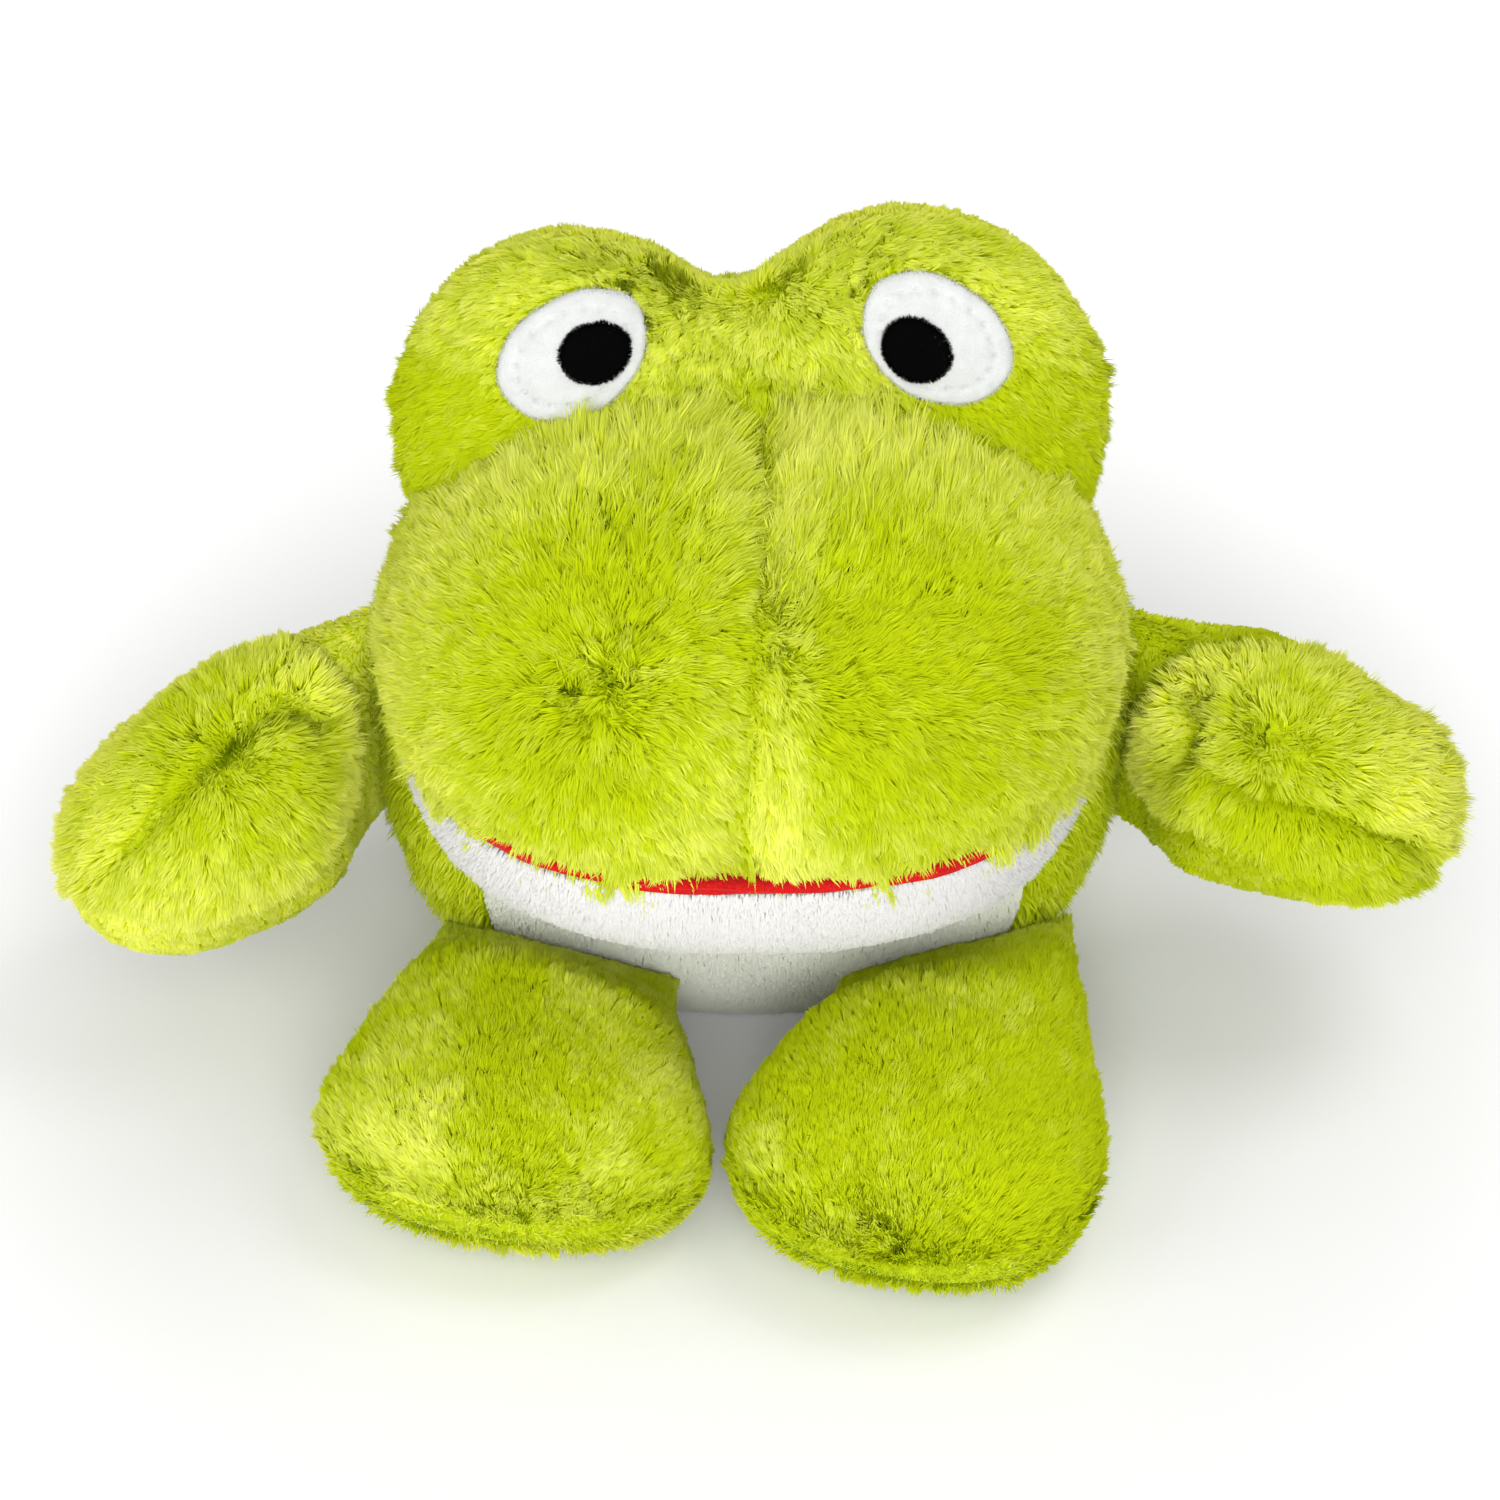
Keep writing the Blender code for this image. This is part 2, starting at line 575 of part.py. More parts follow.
def limb_grid(limb, angles, inset, offset):
    """Give a limb's points about its swing axis, from its sewn edge to its tip.

    The sewn edge is rounded about the axis, and bows in to follow the body. Its radius is
    measured along the limb, and its edge is the same square to the axis. Each section
    is a boxy oval, across a direction that turns from the seam's to the limb's own, and
    twisted about the limb. Offset parts the two panels at their seam.
    """
    radius = limb["seam_radius"]
    edge = limb["seam_edge"]
    seam_turns = np.linspace(0.0, math.pi / 2.0, LIMB_SEAM_ROWS + 1)
    tip_turns = np.linspace(0.0, math.pi / 2.0, LIMB_ROWS + 1)[1:]
    whole_run = limb["length"] - 2.0 * inset
    seam_run = radius - inset
    run = np.concatenate([seam_run * (1.0 - np.cos(seam_turns)),
                          seam_run + (whole_run - seam_run) * np.sin(tip_turns)])[:, None]
    rounding = np.concatenate([np.sin(seam_turns), np.ones(LIMB_ROWS)])[:, None]
    share = run / whole_run
    tip_power = limb["tip_power"]
    rise_share = limb["width_rise_share"]
    width = limb_size(share, limb["half_width"] - inset, limb["seam_half_length"] - inset,
                      rise_share, tip_power)
    over = rounding * limb_size(share, limb["over"] - inset, edge - inset,
                                LIMB_SWELL_RISE_SHARE, tip_power)
    under = rounding * limb_size(share, limb["under"] - inset, edge - inset,
                                 LIMB_SWELL_RISE_SHARE, tip_power)
    angles = angles[None, :]
    power = 2.0 / limb["section_power"]
    across = width * signed_power(np.cos(angles), power)
    rise = signed_power(np.sin(angles), power)
    out = np.where(rise > 0.0, over * rise, under * rise) + offset
    twist = limb["twist"] * smooth_step(share)
    turned_across = across * np.cos(twist) - out * np.sin(twist)
    turned_out = across * np.sin(twist) + out * np.cos(twist)

    turn = smooth_step(share / rise_share)[..., None]
    direction = limb["direction"]
    wide = limb["seam_direction"] * (1.0 - turn) + limb["wide_direction"] * turn
    wide = wide / np.linalg.norm(wide, axis=-1, keepdims=True)
    thick = np.cross(direction, wide)
    thick = thick / np.linalg.norm(thick, axis=-1, keepdims=True)
    bow = limb["seam_bow"] * (across / limb["seam_half_length"]) ** 2 * (1.0 - share) ** 3
    along = run + inset - radius - bow
    lift = limb["plane_lift"] * smooth_step(share / rise_share)
    grid = (direction * along[..., None] + wide * turned_across[..., None]
            + thick * turned_out[..., None] + Z_AXIS * lift[..., None])
    grid[..., 2] = np.maximum(grid[..., 2], inset - limb["root"][2])
    return grid


def make_limb(name, limb, panels, plush, fibre):
    """Make a limb's two panels and its stuffing about an empty on its swing axis."""
    frame = make_empty(name + "_joint", limb["root"])
    for panel, start, offset in zip(panels, (0.0, math.pi), (LIMB_SEAM_GAP / 2.0, -LIMB_SEAM_GAP / 2.0)):
        angles = start + np.linspace(0.0, math.pi, LIMB_SIDES + 1)
        outer = limb_grid(limb, angles, 0.0, offset)
        inner = limb_grid(limb, angles, PLUSH_THICKNESS, offset)
        make_piece(name + panel, shell(outer, inner, pole=True), plush, frame)
    core = limb_grid(limb, full_turn(2 * LIMB_SIDES), PLUSH_THICKNESS + LIMB_STUFFING_GAP, 0.0)[1:]
    ends = core[:1, (LIMB_SIDES // 2, LIMB_SIDES // 2 + LIMB_SIDES)]
    middle = np.broadcast_to(ends.mean(axis=1, keepdims=True), core[:1].shape)
    make_piece(name + "_stuffing", closed_skin(np.concatenate([middle, core])), fibre, frame)


def make_arm(side, length, forward, drop, twist, plush, fibre):
    """Make one arm. Side is 1 for the left arm, at +X."""
    reach = body_reach(ARM_SEAM_HEIGHT, ARM_SEAM_DEPTH, 1)
    edge = ARM_SEAM_RADIUS * math.cos(drop)
    root = np.array((side * (reach + ARM_SEAM_CLEARANCE + edge), ARM_SEAM_DEPTH, ARM_SEAM_HEIGHT))
    direction = np.array((side * math.cos(forward) * math.cos(drop),
                          -math.sin(forward) * math.cos(drop), -math.sin(drop)))
    seam_direction = np.array((-side * math.sin(ARM_SEAM_LEAN), 0.0, math.cos(ARM_SEAM_LEAN)))
    limb = {
        "root": root,
        "direction": direction,
        "seam_direction": seam_direction,
        "wide_direction": unit(Z_AXIS - direction * direction[2]),
        "length": length,
        "half_width": ARM_HALF_WIDTH,
        "over": ARM_HALF_THICKNESS,
        "under": ARM_HALF_THICKNESS,
        "seam_half_length": ARM_SEAM_HALF_LENGTH,
        "seam_radius": ARM_SEAM_RADIUS,
        "seam_edge": edge,
        "seam_bow": ARM_SEAM_BOW,
        "section_power": ARM_SECTION_POWER,
        "tip_power": ARM_TIP_POWER,
        "twist": side * twist,
        "plane_lift": 0.0,
        "width_rise_share": ARM_WIDTH_RISE_SHARE,
    }
    name = ("left" if side > 0 else "right") + "_arm"
    panels = ("_front_panel", "_back_panel") if side > 0 else ("_back_panel", "_front_panel")
    make_limb(name, limb, panels, plush, fibre)


def make_leg(side, length, half_width, seam_offset, yaw, plush, fibre):
    """Make one leg. Side is 1 for the left leg, at +X. Yaw turns its toe outwards."""
    front = body_reach(LEG_SEAM_HEIGHT, seam_offset, 0)
    direction = np.array((side * math.sin(yaw), -math.cos(yaw), 0.0))
    wide = np.cross(Z_AXIS, direction)
    seam_direction = np.array((math.cos(LEG_SEAM_YAW), side * math.sin(LEG_SEAM_YAW), 0.0))
    edge = LEG_SEAM_RADIUS * float(direction @ np.cross(seam_direction, Z_AXIS))
    root = np.array((side * seam_offset, -(front + LEG_SEAM_CLEARANCE + edge), LEG_SEAM_HEIGHT))
    limb = {
        "root": root,
        "direction": direction,
        "seam_direction": seam_direction,
        "wide_direction": wide,
        "length": length,
        "half_width": half_width,
        "over": LEG_TOP_SWELL,
        "under": LEG_SOLE_SWELL,
        "seam_half_length": LEG_SEAM_HALF_LENGTH,
        "seam_radius": LEG_SEAM_RADIUS,
        "seam_edge": edge,
        "seam_bow": LEG_SEAM_BOW,
        "section_power": LEG_SECTION_POWER,
        "tip_power": LEG_TIP_POWER,
        "twist": 0.0,
        "plane_lift": LEG_PLANE_HEIGHT - LEG_SEAM_HEIGHT,
        "width_rise_share": LEG_WIDTH_RISE_SHARE,
    }
    name = ("left" if side > 0 else "right") + "_leg"
    make_limb(name, limb, ("_top_panel", "_sole_panel"), plush, fibre)


def build_frog():
    """Build the whole toy."""
    clear_scene()
    plush = fabric("lime_plush", LIME, 0.9)
    white = fabric("white_plush", WHITE, 0.9)
    felt_white = fabric("white_felt", WHITE, 0.85)
    red = fabric("red_felt", RED, 0.85)
    black = fabric("black_flock", BLACK, 0.7)
    fibre = fabric("stuffing_fibre", FIBRE, 1.0)

    half_slot = MOUTH_OPENING / 2.0 + FELT_THICKNESS + SEAM_GAP
    body_guide = make_body(plush, white, fibre)
    head_guide = make_head(plush, felt_white, black, fibre, body_guide)
    make_snout(plush, fibre, body_guide, head_guide, half_slot)
    make_jaw(white, fibre, body_guide, head_guide, half_slot)
    make_lining(red)
    make_arm(1.0, LEFT_ARM_LENGTH, LEFT_ARM_FORWARD, LEFT_ARM_DROP, LEFT_ARM_TWIST, plush, fibre)
    make_arm(-1.0, RIGHT_ARM_LENGTH, RIGHT_ARM_FORWARD, RIGHT_ARM_DROP, RIGHT_ARM_TWIST, plush, fibre)
    make_leg(1.0, LEFT_LEG_LENGTH, LEFT_LEG_HALF_WIDTH, LEFT_LEG_SEAM_OFFSET,
             LEFT_LEG_YAW, plush, fibre)
    make_leg(-1.0, RIGHT_LEG_LENGTH, RIGHT_LEG_HALF_WIDTH, RIGHT_LEG_SEAM_OFFSET,
             RIGHT_LEG_YAW, plush, fibre)


build_frog()
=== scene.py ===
# A sitting plush frog: padded forms, acrylic pile combed over them, felt eyes and a felt mouth.
# Metres throughout, +Z up, the frog faces -Y and its own left side is at +X.
import itertools
import math

import bpy
import numpy as np
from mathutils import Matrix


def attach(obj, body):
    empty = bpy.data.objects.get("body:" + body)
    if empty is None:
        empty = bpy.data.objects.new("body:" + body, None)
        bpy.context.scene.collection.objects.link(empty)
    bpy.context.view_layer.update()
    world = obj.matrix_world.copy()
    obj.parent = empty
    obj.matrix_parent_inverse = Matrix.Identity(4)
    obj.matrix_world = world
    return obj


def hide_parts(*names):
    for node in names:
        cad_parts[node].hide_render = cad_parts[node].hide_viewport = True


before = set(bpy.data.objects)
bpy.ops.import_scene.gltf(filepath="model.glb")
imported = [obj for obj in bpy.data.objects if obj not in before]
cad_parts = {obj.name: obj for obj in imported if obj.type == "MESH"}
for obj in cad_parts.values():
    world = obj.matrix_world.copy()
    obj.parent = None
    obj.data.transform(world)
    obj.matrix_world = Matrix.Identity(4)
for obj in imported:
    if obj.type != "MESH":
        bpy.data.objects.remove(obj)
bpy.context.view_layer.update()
mm = 0.001
upward = np.array((0.0, 0.0, 1.0))
viewAngle = math.radians(42)  # how far the camera looks down
awayFromView = np.array((0.0, math.cos(viewAngle), -math.sin(viewAngle)))
clearance = 0.4 * mm  # between a skin and the form it presses on
draftShare = 1.0


# Numbers, noise and vectors


def smoothStep(value):
    # 3v² - 2v³, which rises from 0 to 1 while v does
    value = np.clip(value, 0.0, 1.0)
    return value * value * (3.0 - 2.0 * value)


def fade(value, start, span):
    # the smooth step from 0 at a start to 1 a span further on
    return smoothStep((value - start) / span)


def bell(value, width):
    # e to the power -(v/w)²: 1 in the middle, 0.37 at the width
    return np.exp(-(value / width) ** 2)


def ringTurns(columns):
    # angles all round a ring, without the last, which is the first again
    return np.arange(columns)[None, :] * (2.0 * math.pi / columns)


def signedPower(value, power):
    # the size of v raised to a power, with v's sign
    return np.sign(value) * np.abs(value) ** power


def unit(vectors):
    # each vector divided by its length
    return vectors / np.maximum(np.linalg.norm(vectors, axis=-1, keepdims=True), 1e-12)


def dot(a, b):
    return np.sum(a * b, axis=-1, keepdims=True)


def alongSurface(flow, normals):
    # the flow's part square to the normal, n·(f·n) taken away, made one long
    return unit(flow - dot(flow, normals) * normals)


def hashed(cells, salt):
    # a number from 0 to 1 for each whole-numbered cell: coordinates times primes, mixed by xor and shift
    n = ((cells[..., 0] * 73856093) ^ (cells[..., 1] * 19349663)
         ^ (cells[..., 2] * 83492791) ^ (salt * 2654435761)) & 0xFFFFFFFF
    for _ in range(2):
        n = ((n ^ (n >> 16)) * 0x45D9F3B) & 0xFFFFFFFF
    return (n ^ (n >> 16)) / 4294967296.0


def hashedVector(cells, salt):
    # three such numbers for each cell, from -1 to 1
    return np.stack([hashed(cells, salt + k) for k in range(3)], axis=-1) * 2.0 - 1.0


def smoothNoise(points, size, salt):
    # value noise: random numbers at a lattice's corners, blended by a smooth step, from -1 to 1
    scaled = points / size
    base = np.floor(scaled).astype(np.int64)
    part = smoothStep(scaled - base)
    total = np.zeros(points.shape[:-1])
    for corner in itertools.product((0, 1), repeat=3):
        corner = np.array(corner)
        weight = np.prod(np.where(corner > 0, part, 1.0 - part), axis=-1)
        total += weight * hashed(base + corner, salt)
    return 2.0 * total - 1.0


def nearestLock(points, size, salt):
    # each cell of that size holds one random spot, and a root joins the lock whose spot is nearest
    base = np.floor(points / size).astype(np.int64)
    best = np.full(len(points), np.inf)
    centre = np.zeros_like(points)
    cell = np.zeros_like(base)
    for shift in itertools.product((-1, 0, 1), repeat=3):
        here = base + np.array(shift)
        spot = (here + 0.5 + 0.5 * hashedVector(here, salt)) * size
        gap = np.sum((points - spot) ** 2, axis=-1)
        nearer = gap < best
        best[nearer] = gap[nearer]
        centre[nearer] = spot[nearer]
        cell[nearer] = here[nearer]
    return centre, cell


# Meshes and materials


def addMesh(name, mesh, material):
    mesh.materials.append(material)
    piece = bpy.data.objects.new(name, mesh)
    bpy.context.scene.collection.objects.link(piece)
    return piece


def meshFromRings(name, rings, material):
    # rings of points from pole to pole, the first and last ring drawn to one point each
    rows, columns = rings.shape[:2]
    middle = rings[1:-1].reshape(-1, 3)
    points = np.concatenate([rings[0].mean(axis=0)[None], middle, rings[-1].mean(axis=0)[None]])
    row = np.arange(rows - 3)[:, None] * columns + 1
    here = np.arange(columns)[None, :]
    after = (here + 1) % columns
    quads = np.stack([row + here, row + after, row + after + columns, row + here + columns], axis=-1)
    start = [(0, int(b), int(a)) for a, b in zip(here[0] + 1, after[0] + 1)]
    last = len(points) - 1
    top = 1 + (rows - 3) * columns
    end = [(last, int(a), int(b)) for a, b in zip(here[0] + top, after[0] + top)]
    mesh = bpy.data.meshes.new(name)
    mesh.from_pydata(points.tolist(), [], start + quads.reshape(-1, 4).tolist() + end)
    centre = points.mean(axis=0)
    mesh.update()
    facing = np.zeros(len(mesh.polygons) * 3)
    mesh.polygons.foreach_get("normal", facing)
    middles = np.zeros(len(mesh.polygons) * 3)
    mesh.polygons.foreach_get("center", middles)
    areas = np.zeros(len(mesh.polygons))
    mesh.polygons.foreach_get("area", areas)
    outward = np.sum(facing.reshape(-1, 3) * (middles.reshape(-1, 3) - centre), axis=-1)
    if np.sum(outward * areas) < 0.0:
        mesh.flip_normals()
    mesh.shade_smooth()
    return addMesh(name, mesh, material)


def ringNormals(points):
    # across each ring and from ring to ring, the two slopes' cross product, turned outwards
    along = np.gradient(points, axis=0)
    around = np.roll(points, -1, axis=1) - np.roll(points, 1, axis=1)
    normals = unit(np.cross(around, along))
    outward = dot(normals, points - points.mean(axis=(0, 1)))
    return normals if outward.mean() > 0.0 else -normals


def linearColour(hexCode):
    # an sRGB hex value to linear light: v/12.92 when dark, else ((v + 0.055) / 1.055) to the power 2.4
    parts = [int(hexCode[k:k + 2], 16) / 255.0 for k in (1, 3, 5)]
    return tuple(v / 12.92 if v <= 0.04045 else ((v + 0.055) / 1.055) ** 2.4 for v in parts) + (1.0,)


def addNode(tree, kind, settings=None, links=None):
    # a node with its settings, which are its own or its sockets', and the sockets that feed it
    node = tree.nodes.new(kind)
    for name, value in (settings or {}).items():
        if isinstance(name, str) and hasattr(node, name):
            setattr(node, name, value)
        else:
            node.inputs[name].default_value = value
    for name, socket in (links or {}).items():
        tree.links.new(socket, node.inputs[name])
    return node


def fillRamp(node, stops):
    # puts a colour ramp's stops in: place and hex colour
    ramp = node.color_ramp
    while len(ramp.elements) < len(stops):
        ramp.elements.new(0.5)
    for element, (place, hexCode) in zip(ramp.elements, stops):
        element.position = place
        element.color = linearColour(hexCode)
    return node


def newMaterial(name):
    material = bpy.data.materials.new(name)
    material.use_nodes = True
    tree = material.node_tree
    return material, tree, tree.nodes["Principled BSDF"]


# The padded forms, with the sizes of the solids

body = {"halfWidth": 0.095, "halfDepth": 0.056, "middleHeight": 0.062, "halfHeight": 0.070,
        "planPower": 2.3, "shoulderPower": 5.0, "footPower": 2.6, "footTaper": 0.06,
        "bellyTurn": math.radians(45)}


def bodyLevel(height, grow=0.0):
    # the share of the widest ring at a height: (1 - |r|^p)^(1/p), r the rise from the widest level
    rise = (height - body["middleHeight"]) / (body["halfHeight"] + grow)
    power = np.where(rise > 0.0, body["shoulderPower"], body["footPower"])
    taper = 1.0 - body["footTaper"] * np.clip(-rise, 0.0, 1.0)
    return taper * np.clip(1.0 - np.abs(rise) ** power, 0.0, 1.0) ** (1.0 / power)


def bodyForm(rows, columns):
    # rings |x/a|^p + |y/b|^p = 1 stacked on the level profile, spaced evenly along it from foot to crown
    top = body["middleHeight"] + body["halfHeight"]
    samples = 3000
    heights = np.concatenate([(0.0,), top * (1.0 - (1.0 - np.linspace(0.0, 1.0, samples)) ** 2)])
    levels = np.concatenate([(0.0,), bodyLevel(heights[1:])])
    step = np.hypot(np.diff(levels) * body["halfWidth"], np.diff(heights))
    length = np.concatenate([(0.0,), np.cumsum(step)])
    places = np.linspace(0.0, length[-1], rows)
    height = np.interp(places, length, heights)[:, None]
    level = np.interp(places, length, levels)[:, None]
    turns = ringTurns(columns)
    side = signedPower(np.sin(turns), 2.0 / body["planPower"])
    front = signedPower(np.cos(turns), 2.0 / body["planPower"])
    points = np.stack([body["halfWidth"] * level * side, -body["halfDepth"] * level * front,
                       np.broadcast_to(height, (rows, columns))], axis=-1)
    fromFront = np.abs((turns + math.pi) % (2.0 * math.pi) - math.pi)
    seam = (fromFront - body["bellyTurn"]) * body["halfWidth"] * level
    return {"points": points, "normals": ringNormals(points), "seam": seam + np.zeros((rows, columns))}


def insideBody(points, grow=0.0):
    # inside the ring of its level, |x/a|^p + |y/b|^p < 1, with the form grown by so much
    level = bodyLevel(points[..., 2], grow)
    wide = np.maximum(body["halfWidth"] * level + grow, 1e-6)
    deep = np.maximum(body["halfDepth"] * level + grow, 1e-6)
    x, y, _ = np.moveaxis(np.abs(points), -1, 0)
    ring = (x / wide) ** body["planPower"] + (y / deep) ** body["planPower"]
    return (ring < 1.0) & (level > 1e-6) & (points[..., 2] > -grow)


head = {"middle": (0.0, 0.002, 0.150), "lean": math.radians(16), "halfWidth": 0.080,
        "notchRise": 0.053, "chinDrop": 0.046, "planPower": 2.8, "frontSwell": 0.030,
        "backSwell": 0.045, "swellPower": 2.3, "leftMound": (0.0390, 0.0267, 0.0445),
        "rightMound": (-0.0435, 0.0255, 0.0400), "valleyWidth": 0.022, "valleyShare": 0.22,
        "blendPower": 14.0}


def headRadius(turns):
    # a boxy oval's radius joined with the far side of two round mounds, by a high-power sum
    across, along = np.cos(turns), np.sin(turns)
    rise = np.where(along > 0.0, head["notchRise"], head["chinDrop"])
    power = head["planPower"]
    base = ((np.abs(across) / head["halfWidth"]) ** power + (np.abs(along) / rise) ** power) ** (-1.0 / power)
    total = base ** head["blendPower"]
    for offset, lift, radius in (head["leftMound"], head["rightMound"]):
        reach = across * offset + along * lift
        miss = offset ** 2 + lift ** 2 - reach ** 2
        mound = np.where(reach > 0.0, reach + np.sqrt(np.clip(radius ** 2 - miss, 0.0, None)), 0.0)
        total = total + mound ** head["blendPower"]
    return total ** (1.0 / head["blendPower"])


def headSwell(across, along, swell, radius=None):
    # height over the seam's plane: swell times (1 - share^p)^½, less a valley between the mounds
    if radius is None:
        radius = headRadius(np.arctan2(along, across))
    share = np.clip(np.hypot(across, along) / radius, 0.0, 1.0)
    dome = (1.0 - share ** head["swellPower"]) ** 0.5
    crown = smoothStep(along / head["notchRise"])
    return swell * dome * (1.0 - head["valleyShare"] * crown * bell(across, head["valleyWidth"]))


def fromHead(points):
    # turned back by the lean about X, and moved to the head's middle
    c, s = math.cos(head["lean"]), math.sin(head["lean"])
    x, y, z = points[..., 0], points[..., 1], points[..., 2]
    return np.stack([x, y * c + z * s, z * c - y * s], axis=-1) + np.array(head["middle"])


def toHead(points):
    # the other way: from the head's middle, and turned by the lean
    c, s = math.cos(head["lean"]), math.sin(head["lean"])
    x, y, z = np.moveaxis(points - np.array(head["middle"]), -1, 0)
    return np.stack([x, y * c - z * s, y * s + z * c], axis=-1)


def headForm(rows, columns):
    # from the middle of the front, out over the seam, to the middle of the back
    turns = ringTurns(columns)
    sweep = np.linspace(0.0, math.pi, rows)[:, None]
    radius = headRadius(turns)
    across = radius * np.sin(sweep) * np.cos(turns)
    along = radius * np.sin(sweep) * np.sin(turns)
    front = headSwell(across, along, head["frontSwell"], radius)
    back = headSwell(across, along, head["backSwell"], radius)
    depth = np.where(np.cos(sweep) > 0.0, -front, back)
    points = fromHead(np.stack([across, depth, along], axis=-1))
    outline = unit(np.stack([np.cos(turns), 0.0 * turns, np.sin(turns)], axis=-1))
    rim = fromHead(outline) - np.array(head["middle"])
    return {"points": points, "normals": ringNormals(points), "seam": depth,
            "rim": np.broadcast_to(rim, points.shape)}


def insideHead(points, grow=0.0):
    # inside the outline, r < radius, and under the swell of its side
    x, y, z = np.moveaxis(toHead(points), -1, 0)
    radius = headRadius(np.arctan2(z, x)) + grow
    swell = headSwell(x, z, np.where(y < 0.0, head["frontSwell"], head["backSwell"]) + grow, radius)
    return (np.hypot(x, z) < radius) & (np.abs(y) < swell)


snout = {"middle": (0.0, -0.014, 0.1095), "halfWidth": 0.091, "reach": 0.085, "backReach": 0.030,
         "rise": 0.074, "power": 2.5, "lipTuck": 0.004, "lipHeight": 0.016, "grooveDepth": 0.0045,
         "grooveWidth": 0.010, "seamDrift": 0.0040, "waver": 0.9 * mm, "waverSize": 11 * mm}
jaw = {"middle": (0.0, -0.014, 0.1065), "halfWidth": 0.087, "reach": 0.084, "backReach": 0.030,
       "rise": -0.048, "power": 2.5}


def domePoints(dome, turns, tilts):
    # a boxy dome: cos and sin of tilt and turn raised to 2/p, so |x/a|^p + |y/b|^p + |z/c|^p = 1
    power = 2.0 / dome["power"]
    deep = np.where(np.cos(turns) > 0.0, dome["reach"], dome["backReach"])
    level = np.cos(tilts) ** power
    across = dome["halfWidth"] * level * signedPower(np.sin(turns), power)
    forward = deep * level * signedPower(np.cos(turns), power)
    height = dome["rise"] * np.sin(tilts) ** power
    return np.stack([across, -forward, np.broadcast_to(height, across.shape)], axis=-1)


def domeForm(dome, rows, columns):
    # the dome from its rim to its top, over a flat face at the mouth; a seam is a groove, its depth a
    # bell over the distance from a wavering line
    turns = ringTurns(columns)
    tilts = np.linspace(0.0, math.pi / 2.0, rows)[:, None]
    points = domePoints(dome, turns, tilts)
    if "grooveDepth" in dome:
        low = 1.0 - smoothStep(points[..., 2] / dome["lipHeight"])
        points[..., :2] *= (1.0 - low * dome["lipTuck"] / dome["reach"])[..., None]
        distance = np.linalg.norm(points, axis=-1, keepdims=True)
        drift = dome["seamDrift"] * (1.0 - points[..., 2] / dome["rise"]) * (points[..., 1] < 0.0)
        waver = dome["waver"] * smoothNoise(points * np.array((0.0, 1.0, 1.0)), dome["waverSize"], 61)
        seam = points[..., 0] + drift + waver
        dip = dome["grooveDepth"] * bell(seam[..., None], dome["grooveWidth"])
        points = points * (1.0 - dip / np.maximum(distance, dome["grooveWidth"]))
    else:
        seam = np.full(points.shape[:-1], dome["halfWidth"])  # no seam near
    lip = np.abs(points[..., 2])
    points = points + np.array(dome["middle"])
    return {"points": points, "normals": ringNormals(points), "seam": seam, "lip": lip}


def insideDome(dome, points, grow=0.0):
    # |x/a|^p + |y/b|^p + |z/c|^p < 1, on the dome's side of the mouth
    x, y, z = np.moveaxis(points - np.array(dome["middle"]), -1, 0)
    deep = np.where(y < 0.0, dome["reach"], dome["backReach"]) + grow
    total = (np.abs(x) / (dome["halfWidth"] + grow)) ** dome["power"] + (np.abs(y) / deep) ** dome["power"]
    total = total + (np.abs(z) / (abs(dome["rise"]) + grow)) ** dome["power"]
    return (total < 1.0) & (z * dome["rise"] > -grow * abs(dome["rise"]))


limbs = {
    "left_arm": {"root": (0.10352, -0.006, 0.079), "forward": 21, "drop": 8, "twist": 65, "length": 0.0895},
    "right_arm": {"root": (-0.10276, -0.006, 0.079), "forward": 20, "drop": 25, "twist": -50, "length": 0.0945},
    "left_leg": {"root": (0.052, -0.05333, 0.030), "yaw": -12, "halfWidth": 0.0485, "length": 0.099},
    "right_leg": {"root": (-0.0515, -0.05482, 0.030), "yaw": 9, "halfWidth": 0.0515, "length": 0.084},
}
armSizes = {"halfWidth": 0.034, "over": 0.031, "under": 0.031, "seamHalfLength": 0.034, "seamRadius": 0.009,
            "seamBow": 0.001, "sectionPower": 2.2, "tipPower": 5.0, "widthRise": 0.60, "swellRise": 0.38, "lift": 0.0,
            "lean": math.radians(2)}
legSizes = {"over": 0.027, "under": 0.0225, "seamHalfLength": 0.032, "seamRadius": 0.010, "seamBow": 0.003,
            "sectionPower": 2.4, "tipPower": 7.0, "widthRise": 0.80, "swellRise": 0.38, "twist": 0, "lift": -0.008,
            "seamYaw": math.radians(19)}


def finishLimb(name):
    # the limb's own directions: along it, along its seam, and across it
    side = 1.0 if name.startswith("left") else -1.0
    if name.endswith("arm"):
        limb = {**armSizes, **limbs[name]}
        forward, drop = math.radians(limb["forward"]), math.radians(limb["drop"])
        along = np.array((side * math.cos(forward) * math.cos(drop), -math.sin(forward) * math.cos(drop),
                          -math.sin(drop)))
        limb["seamAlong"] = np.array((-side * math.sin(limb["lean"]), 0.0, math.cos(limb["lean"])))
        limb["wide"] = unit(upward - along * along[2])
        limb["seamEdge"] = limb["seamRadius"] * math.cos(drop)
    else:
        limb = {**legSizes, **limbs[name]}
        yaw = math.radians(limb["yaw"])
        along = np.array((side * math.sin(yaw), -math.cos(yaw), 0.0))
        limb["seamAlong"] = np.array((math.cos(limb["seamYaw"]), side * math.sin(limb["seamYaw"]), 0.0))
        limb["wide"] = np.cross(upward, along)
        limb["seamEdge"] = limb["seamRadius"] * float(along @ np.cross(limb["seamAlong"], upward))
    limb["along"] = along
    limb["root"] = np.array(limb["root"])
    return limb


